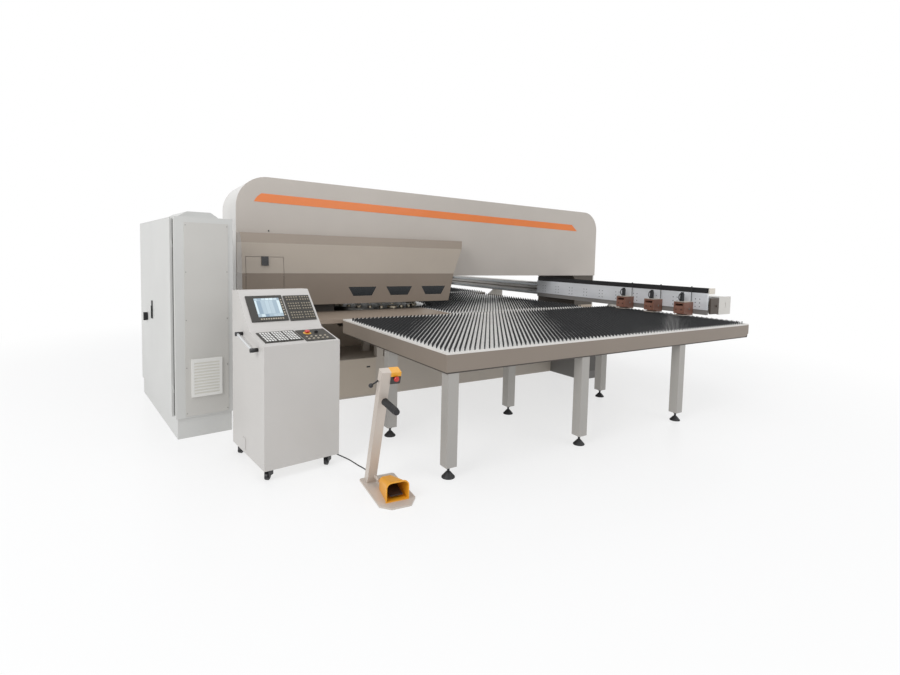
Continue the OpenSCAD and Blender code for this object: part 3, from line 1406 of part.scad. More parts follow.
// A tube along a list of centres, with n sides.
module tube_along(p, r, n) {
    m = len(p);
    function heading(i) = let(v = p[min(m - 1, i + 1)] - p[max(0, i - 1)]) v / norm(v);
    function side(i) = let(h = heading(i), s = cross(h, [0, 0, 1])) s / norm(s);
    points = [for (i = [0:m - 1], k = [0:n - 1]) let(s = side(i), u = cross(s, heading(i)))
        p[i] + r * (cos(k * 360 / n) * s + sin(k * 360 / n) * u)];
    faces = concat([[for (k = [n - 1:-1:0]) k]], [[for (k = [0:n - 1]) (m - 1) * n + k]],
        [for (i = [0:m - 2], k = [0:n - 1]) [i * n + k, i * n + (k + 1) % n, (i + 1) * n + (k + 1) % n, (i + 1) * n + k]]);
    polyhedron(points, faces, convexity = 4);
}

module foot_cable() color("#1a1a1b") {
    tube_along(cable_rings, cable_r, 10);
}

main_frame();
base_frame();
end_foot();
frame_panels();
end_covers();
orange_stripe();
base_cover();
hoods();
hood_windows();
hood_door();
hood_latch();
apron_plates();
upper_turret();
punch_tools();
lower_turret();
turret_dies();
turret_drives();
ram();
ram_drive();
table_skirts();
table_frames();
table_legs();
levelling_feet();
table_boards();
brush_strips();
rail_beams();
beam_rails();
cross_beam();
carriage_rails();
carriage_drive();
clamp_carriage();
cable_tray();
color("#8a5f4b") clamp_body(clamp_y[0]);  // clamp_body_1
color("#8a5f4b") clamp_body(clamp_y[1]);  // clamp_body_2
color("#8a5f4b") clamp_body(clamp_y[2]);  // clamp_body_3
color("#7a5442") clamp_jaw(clamp_y[0]);  // clamp_jaw_1
color("#7a5442") clamp_jaw(clamp_y[1]);  // clamp_jaw_2
color("#7a5442") clamp_jaw(clamp_y[2]);  // clamp_jaw_3
cabinet_body();
cabinet_front_panel();
filter_grille();
cabinet_door();
door_handle();
main_switch();
console_body();
screen_panel();
key_panels();
console_estop();
console_knob();
console_handle();
caster_at(0, 0);  // caster_1
caster_at(1, 0);  // caster_2
caster_at(0, 1);  // caster_3
caster_at(1, 1);  // caster_4
pedal_stand();
estop_box();
pedal_estop();
switch_hood();
foot_pedal();
foot_cable();
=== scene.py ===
# Looks of the turret punch press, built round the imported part. Metres, in the part's own frame.
import math

import bmesh
import bpy
from mathutils import Matrix, Vector


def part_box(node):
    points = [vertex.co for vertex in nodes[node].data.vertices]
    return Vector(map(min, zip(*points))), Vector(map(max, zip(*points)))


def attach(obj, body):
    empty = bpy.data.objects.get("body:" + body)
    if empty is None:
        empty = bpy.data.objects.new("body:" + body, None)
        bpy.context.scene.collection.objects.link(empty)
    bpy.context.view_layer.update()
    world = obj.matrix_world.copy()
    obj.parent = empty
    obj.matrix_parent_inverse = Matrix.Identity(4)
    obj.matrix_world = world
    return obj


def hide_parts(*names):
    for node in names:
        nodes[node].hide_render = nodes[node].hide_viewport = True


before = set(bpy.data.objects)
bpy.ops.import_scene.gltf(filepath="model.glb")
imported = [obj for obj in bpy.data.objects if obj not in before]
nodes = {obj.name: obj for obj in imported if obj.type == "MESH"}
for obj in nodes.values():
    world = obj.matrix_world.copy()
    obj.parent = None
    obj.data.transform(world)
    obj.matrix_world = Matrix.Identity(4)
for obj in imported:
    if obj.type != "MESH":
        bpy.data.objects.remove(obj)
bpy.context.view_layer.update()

# Camera
# It stands at eye height, to the left in front of the tables, with a wide lens.
# Its angles come from the vanishing points of the frame, the tables and the legs.
camera_data = bpy.data.cameras.new("camera")
camera_data.lens = 20.29
camera_data.sensor_width = 36
camera_data.shift_y = -0.0528
camera_data.clip_end = 200
camera = bpy.data.objects.new("camera", camera_data)
camera.location = (-3.460, -6.534, 1.615)
camera.rotation_euler = [math.radians(a) for a in (86.183, -1.323, -32.332)]
bpy.context.collection.objects.link(camera)
bpy.context.scene.camera = camera

# Foot switch cable
# A 9 mm rubber cable lies on the floor from the console's gland to the foot of the post, where a second
# gland holds it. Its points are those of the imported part, in millimetres. Rubber shows matt black, with a
# faint sheen along its top.
cable_points = [
    (-2140.8, -2525.3, 120), (-2134.8, -2524.6, 120), (-2128.9, -2523.9, 120), (-2110, -2523, 113),
    (-2096, -2528, 88), (-2088, -2543, 52), (-2084, -2575, 22), (-2081, -2622, 6), (-2070, -2680, 4.5),
    (-2054, -2738, 4.5), (-2035, -2800, 4.5), (-2019, -2864, 4.5), (-2009, -2925, 4.5), (-2001, -2983, 4.5),
    (-1990, -3035, 4.5), (-1982, -3090, 4.5), (-1984, -3140, 6), (-1996, -3180, 18), (-2012, -3208, 38),
    (-2024, -3225, 54), (-2028.6, -3236.6, 60), (-2029.1, -3242.5, 60), (-2029.7, -3248.5, 60),
]
cable_radius = 0.0045
steps_between_points = 3


def linear(code):
    """An sRGB hex colour as linear red, green, blue and alpha."""
    parts = [int(code[i : i + 2], 16) / 255 for i in (1, 3, 5)]
    return [p / 12.92 if p < 0.04045 else ((p + 0.055) / 1.055) ** 2.4 for p in parts] + [1]


def add(tree, kind, inputs=(), **settings):
    """One shader node, with its settings, and values or links on its inputs."""
    node = tree.nodes.new("ShaderNode" + kind)
    for key, value in settings.items():
        setattr(node, key, value)
    for key, value in dict(inputs).items():
        if isinstance(value, bpy.types.NodeSocket):
            tree.links.new(value, node.inputs[key])
        else:
            node.inputs[key].default_value = value
    return node


def surface(name, colour, rough=0.42, metal=0.0, grain_mm=3.0, bump=0.06, drift=0.04, drift_mm=600,
            stretch=(1, 1, 1), coat=0.0, bands=()):
    """A finish: slow drift of tone, fine grain in gloss and relief, other colours above given heights."""
    # The real grain of plastic, rubber and ground steel is too fine to show, so it is drawn 1 to 2 mm wide.
    gloss_spread = 0.06
    tone_spread = 2 * drift
    made = bpy.data.materials.new(name)
    made.use_nodes = True
    tree = made.node_tree
    shader = tree.nodes["Principled BSDF"]
    place = add(tree, "TexCoord").outputs["Object"]
    spread = add(tree, "Mapping", {"Vector": place, "Scale": stretch}).outputs[0]
    slow = add(tree, "TexNoise", {"Vector": spread, "Scale": 1000 / drift_mm, "Detail": 3.0}).outputs[0]
    fine = add(tree, "TexNoise", {"Vector": spread, "Scale": 1000 / grain_mm, "Detail": 2.0}).outputs[0]
    height = add(tree, "SeparateXYZ", {0: place}).outputs["Z"]
    tone = linear(colour)
    for threshold, other in bands:
        over = add(tree, "Math", {0: height, 1: threshold}, operation="GREATER_THAN").outputs[0]
        tone = add(tree, "Mix", {0: over, 6: tone, 7: linear(other)}, data_type="RGBA").outputs[2]
    shade = add(tree, "MapRange", {"Value": slow, "To Min": 1 - tone_spread, "To Max": 1 + tone_spread})
    base = tone if isinstance(tone, bpy.types.NodeSocket) else tone[:3]
    tint = add(tree, "VectorMath", {0: base}, operation="SCALE")
    tree.links.new(shade.outputs[0], tint.inputs["Scale"])
    tree.links.new(tint.outputs[0], shader.inputs["Base Color"])
    worn = add(tree, "MapRange",
               {"Value": fine, "To Min": rough - gloss_spread, "To Max": rough + gloss_spread})
    tree.links.new(worn.outputs[0], shader.inputs["Roughness"])
    relief = add(tree, "Bump", {"Height": fine, "Strength": bump, "Distance": grain_mm / 4000}).outputs[0]
    tree.links.new(relief, shader.inputs["Normal"])
    shader.inputs["Metallic"].default_value = metal
    shader.inputs["Coat Weight"].default_value = coat
    return made


def smooth(points, steps):
    """A Catmull-Rom curve through the points."""
    out = []
    for i in range(len(points) - 1):
        a, b, c, d = (Vector(points[min(max(j, 0), len(points) - 1)]) for j in (i - 1, i, i + 1, i + 2))
        for k in range(steps):
            t = k / steps
            out.append(0.5 * (2 * b + (c - a) * t + (2 * a - 5 * b + 4 * c - d) * t**2
                              + (3 * b - a - 3 * c + d) * t**3))
    return out + [Vector(points[-1])]


cable_rubber = surface("black_rubber", "#1b1b1c", rough=0.55, grain_mm=1.5)
cable_path = [p / 1000 for p in smooth(cable_points, steps_between_points)]
cable_curve = bpy.data.curves.new("switch_cable", "CURVE")
cable_curve.dimensions = "3D"
cable_curve.bevel_depth = cable_radius
cable_curve.bevel_resolution = 3
cable_curve.use_fill_caps = True
cable_line = cable_curve.splines.new("POLY")
cable_line.points.add(len(cable_path) - 1)
for spot, point in zip(cable_line.points, cable_path):
    spot.co = (*point, 1)
cable_curve.materials.append(cable_rubber)
cable = bpy.data.objects.new("switch_cable", cable_curve)
bpy.context.collection.objects.link(cable)
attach(cable, "machine")
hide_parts("foot_cable")

# Floor and light
# A plain pale floor that keeps the machine's soft shadow and a faint reflection of its legs, and turns
# fully white further out. The strongest of three large soft lamps stands at the left, where the end
# faces are palest.
floor_reach = 60
fade_starts = 3.8
fade_ends = 7.5
white_share_near = 0.66
floor_mesh = bpy.data.meshes.new("floor")
floor_build = bmesh.new()
bmesh.ops.create_circle(floor_build, cap_ends=True, segments=96, radius=floor_reach)
floor_build.to_mesh(floor_mesh)
floor_build.free()
floor = bpy.data.objects.new("floor", floor_mesh)
bpy.context.collection.objects.link(floor)
floor_paint = surface("studio_floor", "#f3f3f2", rough=0.3, drift=0.0, bump=0.0)
floor_tree = floor_paint.node_tree
floor_spot = add(floor_tree, "TexCoord").outputs["Object"]
floor_far = add(floor_tree, "VectorMath", {0: floor_spot}, operation="LENGTH").outputs["Value"]
floor_fade = add(floor_tree, "MapRange",
                 {"Value": floor_far, "From Min": fade_starts, "From Max": fade_ends,
                  "To Min": white_share_near, "To Max": 1.0}, interpolation_type="SMOOTHSTEP").outputs[0]
floor_glow = add(floor_tree, "Emission", {"Color": (1, 1, 1, 1), "Strength": 1.0}).outputs[0]
floor_lit = floor_tree.nodes["Principled BSDF"].outputs[0]
floor_both = add(floor_tree, "MixShader", {0: floor_fade, 1: floor_lit, 2: floor_glow}).outputs[0]
floor_tree.links.new(floor_both, floor_tree.nodes["Material Output"].inputs["Surface"])
floor_mesh.materials.append(floor_paint)

world = bpy.data.worlds.new("studio")
bpy.context.scene.world = world
world.use_nodes = True
world.node_tree.nodes.clear()
rays = add(world.node_tree, "LightPath").outputs
mirrored = add(world.node_tree, "Math", {0: rays["Is Glossy Ray"], 1: rays["Is Transmission Ray"]},
               operation="MAXIMUM").outputs[0]
seen = add(world.node_tree, "Math", {0: rays["Is Camera Ray"], 1: mirrored}, operation="MAXIMUM")
ambient = add(world.node_tree, "Background", {"Color": (0.93, 0.95, 1.0, 1), "Strength": 0.5}).outputs[0]
backdrop = add(world.node_tree, "Background", {"Color": (1, 1, 1, 1), "Strength": 1.0}).outputs[0]
both = add(world.node_tree, "MixShader", {0: seen.outputs[0], 1: ambient, 2: backdrop}).outputs[0]
add(world.node_tree, "OutputWorld", {"Surface": both})
for lamp_name, place, aim, size, power in (
    ("left_lamp", (-11, -6, 7.5), (0, 0, 1), 6, 640),
    ("front_lamp", (3, -13, 7), (0, -1, 1), 8, 300),
    ("top_lamp", (0, -1, 11), (0, 0, 0), 10, 330),
):
    lamp_data = bpy.data.lights.new(lamp_name, "AREA")
    lamp_data.size = size
    lamp_data.energy = power
    lamp = bpy.data.objects.new(lamp_name, lamp_data)
    lamp.location = place
    lamp.rotation_euler = (Vector(aim) - Vector(place)).to_track_quat("-Z", "Y").to_euler()
    bpy.context.collection.objects.link(lamp)
bpy.context.scene.view_settings.view_transform = "Standard"

# Base and foot
# Welded boxes of steel plate on the floor under the frame, with a removable sheet cover at the left,
# and a floor beam that carries the rails. All are painted, and the paint shows as a fine orange peel. The
# beam's dark grey is painted shade: its face at the right end lies in shadow.
base_paint = surface("base_grey_paint", "#aca49a", rough=0.45)
# Painted shade: the floor beam is made dark grey for its face that lies in shadow.
foot_paint_with_painted_shade = surface("foot_grey_paint_with_painted_shade", "#6c6a67", rough=0.5)
base_cover_paint = surface("base_cover_taupe_paint", "#ada294")


def dress(material, *names):
    """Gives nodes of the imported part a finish."""
    for name in names:
        nodes[name].data.materials.clear()
        nodes[name].data.materials.append(material)


dress(base_paint, "base_frame")
dress(foot_paint_with_painted_shade, "end_foot")
dress(base_cover_paint, "base_cover")

# O frame and its sheet covers
# A closed frame of thick plate, dark above the lower beam, stands inside folded covers of light
# powder-coated sheet, which looks even and slightly dull. A plain orange film with a smooth sheen is stuck
# along the front. The end covers are nearly white: partly their pale coat, and partly painted light for the
# strongest lamp at the left, which falls on the end faces.
lower_beam_top = 0.84
dress(surface("frame_dark_taupe_paint", "#b3a595", rough=0.55, bands=((lower_beam_top, "#4d463e"),)),
      "main_frame")
dress(surface("panel_light_taupe_powder_coat", "#bcb5ad"), "frame_panels")
# Painted light: the end covers are made paler for the light that falls on them from the left.
dress(surface("end_cover_pale_coat_with_painted_light", "#dcdad6"), "end_covers")
dress(surface("orange_vinyl_film", "#e27a33", rough=0.35, drift=0.02, coat=0.2), "orange_stripe")

# Turret hoods
# Folded sheet in three fields of taupe, the middle one lighter, with smoked windows in the lower band that
# look nearly black under a soft gloss. The hinged door at the left has a black moulded latch.
lower_fold = 1.383
upper_fold = 1.714
hood_coat = surface("hood_taupe_powder_coat", "#84776a", rough=0.38,
                    bands=((lower_fold, "#a59a8d"), (upper_fold, "#867a6d")))
dress(hood_coat, "hoods", "hood_door")
smoked_sheet = surface("smoked_polycarbonate", "#1b1f22", rough=0.2, grain_mm=40, drift=0.1, drift_mm=60,
                       bump=0.0)
dress(smoked_sheet, "hood_windows")
# Moulded nylon has a fine matt grain and a dim, broad highlight.
black_plastic = surface("black_moulded_nylon", "#1e1e20", rough=0.42, grain_mm=1.2, bump=0.12)
dress(black_plastic, "hood_latch")

# Panel catches
# A small black catch on the front cover and one on the base cover, where the sheets are unlocked. They are
# moulded nylon, snapped into the sheet, and stand a few millimetres proud.
here = Matrix.Identity(4)
cover_catch = ((-2100, -473, 1848), (-2086, -468.6, 1866))
base_catch = ((-1336, -1575, 412), (-1296, -1569.5, 428))


def piece(name, body, material, build, rounded=False):
    """A piece whose mesh is made by build, in its finish and slot, riding on a body."""
    mesh = bpy.data.meshes.new(name)
    made = bmesh.new()
    build(made)
    for face in made.faces:
        face.smooth = rounded
    made.to_mesh(mesh)
    made.free()
    mesh.materials.append(material)
    out = bpy.data.objects.new(name, mesh)
    bpy.context.collection.objects.link(out)
    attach(out, body)
    return out


def blocks(place, corners, rounding):
    """Blocks with rounded edges, each between two corners in millimetres, put in place."""

    def build(bm):
        for low, high in corners:
            middle = Matrix.Translation([(a + b) / 2000 for a, b in zip(low, high)])
            size = Matrix.Diagonal([(b - a) / 1000 for a, b in zip(low, high)] + [1])
            bmesh.ops.create_cube(bm, size=1, matrix=place @ middle @ size)
        bmesh.ops.bevel(bm, geom=bm.edges[:], offset=rounding / 1000, segments=2, profile=0.5,
                        affect="EDGES", material=-1)

    return build


def discs(place, spots):
    """Turned discs, each a centre, a radius and a depth in millimetres, slightly tapered, put in place."""

    def build(bm):
        for centre, radius, depth in spots:
            middle = Matrix.Translation([a / 1000 for a in centre])
            bmesh.ops.create_cone(bm, cap_ends=True, segments=24, radius1=radius / 1000,
                                  radius2=radius / 1100, depth=depth / 1000, matrix=place @ middle)

    return build


piece("panel_catches", "machine", black_plastic, blocks(here, [cover_catch, base_catch], 1))

# Turret, tools, drives and apron
# Two turned steel discs with punches and dies set in their bores, on bearing housings with painted motors.
# Turning leaves fine marks that stretch the highlights; the tools are ground brighter and a little yellow.
# Folded apron plates, powder-coated, close the front below the hood.
dress(surface("turned_steel", "#a9aaa8", rough=0.3, metal=1.0, grain_mm=2, bump=0.12, stretch=(1, 1, 6)),
      "upper_turret", "lower_turret", "ram")
dress(surface("tool_steel", "#b7ae9c", rough=0.28, metal=1.0, grain_mm=2), "punch_tools", "turret_dies")
dress(surface("drive_grey_paint", "#4c545b", rough=0.5), "turret_drives", "ram_drive")
dress(surface("apron_taupe_powder_coat", "#8f8173"), "apron_plates")

# Tables
# Skirts of folded sheet with a pale edge are screwed to welded frames on square tube legs, which stand on
# black cast feet. The boards between the skirts are pale laminate, even and half matt. The dark brown of the
# frames and the rail beams is painted shade of the recess under the tables.
pale_edge_low = 0.917
dress(surface("skirt_taupe_powder_coat", "#857a6f", bands=((pale_edge_low, "#d9d6d1"),)), "table_skirts")
# Painted shade: the frames and rail beams are dark brown for the shadowed recess under the tables.
dress(surface("frame_paint_with_painted_shade", "#47413c", rough=0.55), "table_frames", "rail_beams")
dress(surface("leg_grey_powder_coat", "#a4a19c"), "table_legs")
# Casting leaves a rough skin that breaks up the light.
dress(surface("black_cast_foot", "#18181a", rough=0.5, bump=0.2), "levelling_feet")
dress(surface("pale_table_laminate", "#dddcd8", rough=0.5), "table_boards")

# Brush tufts
# Short tufts of black nylon stand in staggered rows on the boards and carry the sheet without scratches.
# Each flares a little and is cut flat at the rim's height; five sides are enough for one. Bristle ends
# take the light, so the rows look dead black.
tuft_pitch = 0.045
row_pitch = 0.030
tuft_foot = 0.0045
tuft_tip = 0.0062
tuft_height = 0.0285
board_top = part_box("table_boards")[1][2]
turret_centre = Vector((-0.560, 0))
turret_clear = 0.722


def inside(spot, low, keep_off):
    """Whether the tuft that a vertex belongs to stands nearer the turret's centre than keep_off."""
    row = round((spot.y - low[1]) / row_pitch)
    start = low[0] + tuft_pitch / 2 * (row % 2)
    column = round((spot.x - start) / tuft_pitch)
    centre = Vector((start + column * tuft_pitch, low[1] + row * row_pitch))
    return (centre - turret_centre).length < keep_off


def tuft_field(low, high, keep_off):
    """Tufts between two corners: two rows are built, copied down the table, and cleared round the turret."""

    def build(bm):
        for row in (0, 1):
            x = low[0] + tuft_pitch / 2 * row
            while x <= high[0]:
                at = Matrix.Translation((x, low[1] + row * row_pitch, board_top + tuft_height / 2))
                bmesh.ops.create_cone(bm, cap_ends=True, segments=5, radius1=tuft_foot, radius2=tuft_tip,
                                      depth=tuft_height, matrix=at)
                x += tuft_pitch
        pair = bm.verts[:] + bm.edges[:] + bm.faces[:]
        for step in range(1, int((high[1] - low[1]) / row_pitch / 2)):
            copied = bmesh.ops.duplicate(bm, geom=pair)["geom"]
            bmesh.ops.translate(bm, verts=[v for v in copied if isinstance(v, bmesh.types.BMVert)],
                                vec=(0, 2 * step * row_pitch, 0))
        bmesh.ops.delete(bm, geom=[v for v in bm.verts if inside(v.co, low, keep_off)], context="VERTS")

    return build


bristle = surface("black_nylon_bristle", "#222325", rough=0.6, grain_mm=1, bump=0.5)
for tuft_name, low, high, keep_off in (
    ("front_brush_tufts", (-1.522, -3.492), (2.402, -1.52), 0),
    ("rear_brush_tufts", (-1.522, 1.53), (2.402, 3.50), 0),
    ("centre_brush_tufts", (-0.165, -1.39), (2.075, 1.39), turret_clear),
):
    tufts = piece(tuft_name, "machine", bristle, tuft_field(low, high, keep_off))
    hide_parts("brush_strips")

# Rails and cross beam
# Ground steel rails on beams, dark with painted shade, carry a box beam, welded and painted light grey, with
# guide rails for the carriage screwed to it. Grinding leaves long fine lines along the rails, which draw out
# their shine.
dress(surface("ground_rail_steel", "#8f9294", rough=0.25, metal=1.0, grain_mm=2, stretch=(30, 1, 30)),
      "beam_rails", "carriage_rails")
dress(surface("beam_light_paint", "#cfccc6"), "cross_beam")

# Carriage and cable tray
# The carriage is a long milled aluminium plate with a hazy sheen and rows of countersunk screws, above a
# darker clamp bar. A black cable tray with a beige end cap runs along its top.
plate_low = 1.037
# Milling marks and a dull oxide skin scatter the light, so little of the plate's shine is a metal's.
dress(surface("milled_aluminium", "#8a8784", rough=0.3, metal=0.12, grain_mm=10, drift=0.13, drift_mm=180,
              stretch=(1, 0.25, 1), bands=((plate_low, "#dcdee1"),)), "clamp_carriage")
dress(surface("drive_dark_brown_paint", "#4a4038", rough=0.5), "carriage_drive")
dress(black_plastic, "cable_tray")
plate_face = Matrix.Rotation(math.radians(-90), 4, "Y")
plate_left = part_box("clamp_carriage")[0][0] * 1000
first_pair = -2950
pair_pitch = 300
pair_half = 28
screw_heights = (1072, 1118, 1164)
head_radius = 6.5
head_depth = 0.4
# Black oxide leaves the screws nearly black, with a dim metal glint.
screw_black = surface("black_oxide_screw", "#2d2d2f", rough=0.4, metal=0.6, grain_mm=1)
plate_screws = [((z, first_pair + pair_pitch * i + side, -plate_left), head_radius, head_depth)
                for i in range(10) for side in (-pair_half, pair_half) for z in screw_heights]
piece("plate_screws", "carriage", screw_black, discs(plate_face, plate_screws))
tray_low, tray_high = (Vector(corner) * 1000 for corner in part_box("cable_tray"))
cap_back = -3071
cap_low = (tray_low[0] + 19, tray_low[1] - 0.6, tray_low[2] - 0.6)
cap_high = (tray_low[0] + 136, cap_back, tray_high[2] + 0.8)
cap_paint = surface("beige_end_cap", "#d9d2c6", rough=0.45)
piece("tray_end_cap", "carriage", cap_paint, blocks(here, [(cap_low, cap_high)], 2))

# Clamps
# Three sheet clamps with copper-brown painted bodies and jaws on a bare steel lip, a pale top plate,
# and a black air cylinder with its hose above it. The paint's tone drifts lighter and darker in patches
# about
# 80 mm across. Each jaw has two socket screws in front and turns on a ground pin, whose ends show in the
# cheeks.
lip_top = 0.966
body_top = 1.1225
plate_top = 1.1295
clamp_middles = (-2826, -2400, -1958)
jaw_screw_z = 1030
jaw_screw_half = 34
pin_x = 2310
pin_z = 1040
cheek_half = 71.5
clamp_finish = surface("clamp_copper_brown_paint", "#b7aea4", drift=0.12, drift_mm=80,
                       bands=((lip_top, "#80594a"), (body_top, "#b9b2a8"), (plate_top, "#17171a")))
dress(clamp_finish, *(f"clamp_{part}_{i}" for part in ("body", "jaw") for i in (1, 2, 3)))
# Grinding leaves the pin's ends bright, without a sharp reflection.
bright_pin = surface("ground_pin_steel", "#8d8a86", rough=0.3, metal=0.9, grain_mm=1)
along = Matrix.Rotation(math.radians(90), 4, "X")
for i, middle in enumerate(clamp_middles, 1):
    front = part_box(f"clamp_jaw_{i}")[0][0] * 1000
    jaw_screws = [((jaw_screw_z, middle + side, -front), 8, 3) for side in (-jaw_screw_half, jaw_screw_half)]
    piece(f"jaw_screws_{i}", f"jaw_{i}", screw_black, discs(plate_face, jaw_screws))
    pin_ends = [((pin_x, pin_z, side - middle), 13, 4) for side in (-cheek_half, cheek_half)]
    piece(f"pin_ends_{i}", f"clamp_{i}", bright_pin, discs(along, pin_ends))

# Electrical cabinet
# Folded and powder-coated sheet, light grey and even, with a black rubber seal at the door and zinc-plated
# screws round the front panel. A fleece mat lies behind the slats of the white filter, and a black moulded
# dish closes the door behind its swing handle.
cabinet_coat = surface("cabinet_light_grey_powder_coat", "#c9c9c6")
dress(cabinet_coat, "cabinet_body", "cabinet_door")
dress(surface("cabinet_front_grey_powder_coat", "#c3c1bc"), "cabinet_front_panel")
dress(surface("white_filter_abs", "#e2e1dd", rough=0.5, grain_mm=1.5), "filter_grille")
dress(black_plastic, "door_handle", "main_switch")
cabinet_turn = 6.4
cabinet_corner = Matrix.Translation((-3.137, -1.748, 0))
cabinet_place = cabinet_corner @ Matrix.Rotation(math.radians(cabinet_turn), 4, "Z")
# Fleece is dull and loose, so it gives no highlight at all.
fleece = surface("filter_fleece", "#d9d7ce", rough=0.85, grain_mm=2, bump=0.6)
mat_block = ((139, -13, 374), (345, 2.0, 661))
piece("filter_mat", "machine", fleece, blocks(cabinet_place, [mat_block], 0.5))
# Foamed rubber is dull and lets the joint read as a black line.
seal = surface("black_door_seal", "#2b2a28", rough=0.7, grain_mm=1)
seal_block = ((-3, 52, 200), (2, 63, 1872))
piece("door_seal", "machine", seal, blocks(cabinet_place, [seal_block], 1))
dish_block = ((-18.9, 944.4, 938), (-13, 989, 1068))
piece("handle_dish", "cabinet_door", black_plastic, blocks(cabinet_place, [dish_block], 1))
front_side = cabinet_place @ Matrix.Rotation(math.radians(90), 4, "X")
screw_columns = (84, 413)
screw_rows = (215, 610, 1020, 1430, 1825)
# Zinc plating shines softly, without a sharp reflection.
screw_steel = surface("zinc_plated_screw", "#9c9b98", rough=0.35, metal=0.8, grain_mm=1)
piece("front_panel_screws", "machine", screw_steel,
      discs(front_side, [((x, z, 4.6), 5, 2.4) for x in screw_columns for z in screw_rows]))

# Console
# A light grey sheet housing on casters, with a graphite screen panel and key panels with pale caps, all let
# into its sloped faces. The glass is lit from behind, and bricks of the pattern stand for its plain fields.
# The bar handle is bright and is held in black moulded ends.
dress(surface("console_light_grey_powder_coat", "#c4c1bd"), "console_body")
dress(surface("screen_bezel_graphite", "#26241f", rough=0.5, grain_mm=1.5), "screen_panel")
dress(surface("key_panel_graphite", "#2a2822", rough=0.5, grain_mm=1.5), "key_panels")
# Moulded in a polished tool, so the red caps have a clear gloss.
red_abs = surface("red_moulded_abs", "#c3241c", rough=0.25, grain_mm=1.5, coat=0.3)
dress(red_abs, "console_estop", "pedal_estop")
# Anodising gives the bar a pale satin skin.
dress(surface("anodised_aluminium_bar", "#d8d9da", rough=0.25, metal=0.6, grain_mm=1), "console_handle")
dress(black_plastic, "console_knob", "caster_1", "caster_2", "caster_3", "caster_4")
console_turn = 6.7
deck_front = 962
deck_run = 320
deck_rise = 65
face_run = 280
face_rise = 285
console_corner = Matrix.Translation((-2.680, -2.941, 0))
console_place = console_corner @ Matrix.Rotation(math.radians(console_turn), 4, "Z")
deck_start = console_place @ Matrix.Translation((0, 0, deck_front / 1000))
deck = deck_start @ Matrix.Rotation(math.atan2(deck_rise, deck_run), 4, "X")
face_start = console_place @ Matrix.Translation((0, deck_run / 1000, (deck_front + deck_rise) / 1000))
face = face_start @ Matrix.Rotation(math.atan2(face_rise, face_run), 4, "X")
pattern_mm = 50
field_width = 31
field_height = 95
field_gap = 2
# Glass reflects sharply over the dim light of the fields.
glass = surface("lit_screen_glass", "#a9bcc6", rough=0.12, grain_mm=30, drift=0.0, bump=0.0, coat=0.5)
glass_tree = glass.node_tree
glass_spot = add(glass_tree, "TexCoord").outputs["Object"]
# The pattern is turned to the console's own axes and laid out over its width and height.
glass_turn = add(glass_tree, "Mapping",
                 {"Vector": glass_spot, "Rotation": (0, 0, math.radians(-console_turn))}).outputs[0]
glass_at = add(glass_tree, "SeparateXYZ", {0: glass_turn}).outputs
glass_flat = add(glass_tree, "CombineXYZ", {"X": glass_at["X"], "Y": glass_at["Z"]}).outputs[0]
fields = add(glass_tree, "TexBrick",
             {"Vector": glass_flat, "Color1": linear("#cfe0e4"), "Color2": linear("#6f889c"),
              "Mortar": linear("#8fa4b0"), "Scale": 1000 / pattern_mm,
              "Mortar Size": field_gap / pattern_mm, "Brick Width": field_width / pattern_mm,
              "Row Height": field_height / pattern_mm}, offset=0.3).outputs[0]
glass_shader = glass_tree.nodes["Principled BSDF"]
glass_tree.links.new(fields, glass_shader.inputs["Base Color"])
glass_tree.links.new(fields, glass_shader.inputs["Emission Color"])
glass_shader.inputs["Emission Strength"].default_value = 0.12
glass_block = ((97, 121, 7.8), (293, 305, 9.2))
piece("screen_glass", "machine", glass, blocks(face, [glass_block], 0.4))


def key_cap(x, y, width, depth, foot, top):
    """The two corners of a key cap whose foot stands just inside its panel."""
    return (x, y, foot), (x + width, y + depth, top)


# The caps are moulded with a fine grain, half matt in every colour.
pale_cap = surface("pale_key_cap_abs", "#ada493", rough=0.45, grain_mm=1)
soft_keys = [key_cap(108 + 18.5 * i, 94, 12, 12, 7.8, 9.8) for i in range(10)]
side_keys = [key_cap(300, 128 + 25 * i, 12, 12, 7.8, 9.8) for i in range(7)]
piece("face_key_caps", "machine", pale_cap, blocks(face, soft_keys + side_keys, 0.5))
taupe_cap = surface("taupe_key_cap_abs", "#857c6c", rough=0.45, grain_mm=1)
panel_columns = [352 + 21 * i + 8 * (i // 5) for i in range(9)]
panel_rows = [92 + 26 * j + 14 * (j // 3) for j in range(8)]
panel_keys = [key_cap(x, y, 12, 13, 7.8, 9.0) for x in panel_columns for y in panel_rows]
piece("panel_key_caps", "machine", taupe_cap, blocks(face, panel_keys, 0.5))
white_cap = surface("white_key_cap_abs", "#e6e5e1", rough=0.4, grain_mm=1)
deck_columns = [45 + 20 * i + 7 * (i // 4) for i in range(12)]
deck_rows = [77 + 37 * j for j in range(5)]
deck_keys = [key_cap(x, y, 13, 28, 8.2, 9.6) for x in deck_columns for y in deck_rows]
piece("deck_key_caps", "machine", white_cap, blocks(deck, deck_keys, 0.6))
button_spots = [(352 + 36 * i, 62 + 44 * j, 8) for i in range(5) for j in range(2)]
piece("round_buttons", "machine", pale_cap,
      discs(deck, [(spot, 9, 6) for spot in button_spots]))
stop_middle = (389, 190, 6.5)
ring_yellow = surface("yellow_stop_ring", "#e9b64a", rough=0.4, grain_mm=1)
piece("stop_ring", "machine", ring_yellow, discs(deck, [(stop_middle, 31, 1.2)]))
across = console_place @ Matrix.Rotation(math.radians(90), 4, "Y")
bar_ends = ((127, 922), (468, 993))
piece("handle_ends", "machine", black_plastic,
      discs(across, [((-z, y, -28), 16, 54) for y, z in bar_ends]), rounded=True)

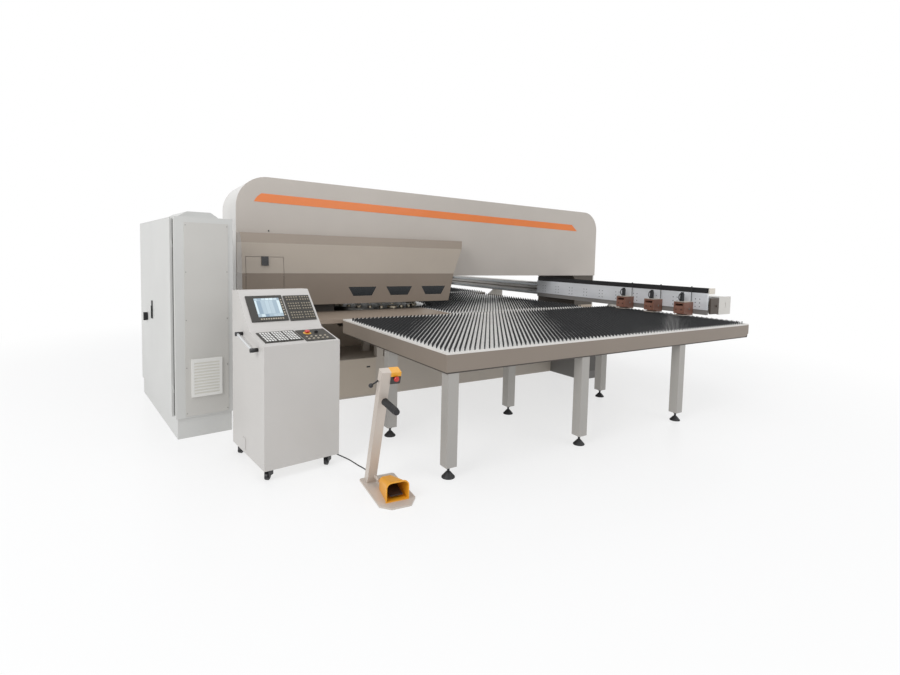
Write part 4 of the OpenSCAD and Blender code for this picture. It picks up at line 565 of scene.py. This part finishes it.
# Foot station
# A beige sheet-steel post welded to a bevelled base plate, with a yellow and black stop box, a ribbed black
# rubber grip, a locking rod with a ball knob, and a cast yellow pedal hood, whose skin is slightly rough.
dress(surface("stand_beige_powder_coat", "#c4bab0"), "pedal_stand")
yellow_lid_low = 0.824
dress(surface("yellow_and_black_abs", "#2a2724", rough=0.35, grain_mm=1.5, coat=0.2,
              bands=((yellow_lid_low, "#e7a525"),)), "estop_box")
dress(surface("yellow_cast_alloy", "#eaa326", rough=0.38, grain_mm=2, bump=0.15, coat=0.15), "switch_hood")
dress(surface("pedal_black_brown_rubber", "#2f231f", rough=0.6, grain_mm=2, bump=0.3), "foot_pedal")
stand_turn = -5.4
post_lean = 18.3
grip_lean = 73.7
stand_corner = Matrix.Translation((-1.960, -3.234, 0))
stand_place = stand_corner @ Matrix.Rotation(math.radians(stand_turn), 4, "Z")
post_foot = stand_place @ Matrix.Translation((-0.068, -0.059, 0.012))
post = post_foot @ Matrix.Rotation(math.radians(post_lean), 4, "X")
grip_start = post @ Matrix.Translation((0.008, -0.031, 0.683))
grip_place = grip_start @ Matrix.Rotation(math.radians(grip_lean), 4, "X")
grip_sleeve = ((0, 0, 131.8), 22.2, 208.6)
grip_collar = ((0, 0, 24), 25, 8)
rib_pitch = 12
ribs = [((0, 0, 44 + rib_pitch * i), 23.6, 6) for i in range(15)]
piece("hand_grip", "machine", cable_rubber,
      discs(grip_place, [grip_sleeve, grip_collar] + ribs))
ball_radius = 0.0155
rod_radius = 0.0056
rod_length = 0.048
rod_lean = 55
knob_place = post @ Matrix.Translation((-0.082, 0.008, 0.787))
rod_turn = Matrix.Rotation(math.radians(rod_lean), 4, "Y")
rod_place = knob_place @ rod_turn @ Matrix.Translation((0, 0, 0.034))


def ball_and_rod(bm):
    """A ball knob on a black oxide rod that runs into the post."""
    bmesh.ops.create_uvsphere(bm, u_segments=24, v_segments=16, radius=ball_radius, matrix=knob_place)
    bmesh.ops.create_cone(bm, cap_ends=True, segments=16, radius1=rod_radius, radius2=rod_radius,
                          depth=rod_length, matrix=rod_place)


piece("lock_knob", "machine", black_plastic, ball_and_rod, rounded=True)
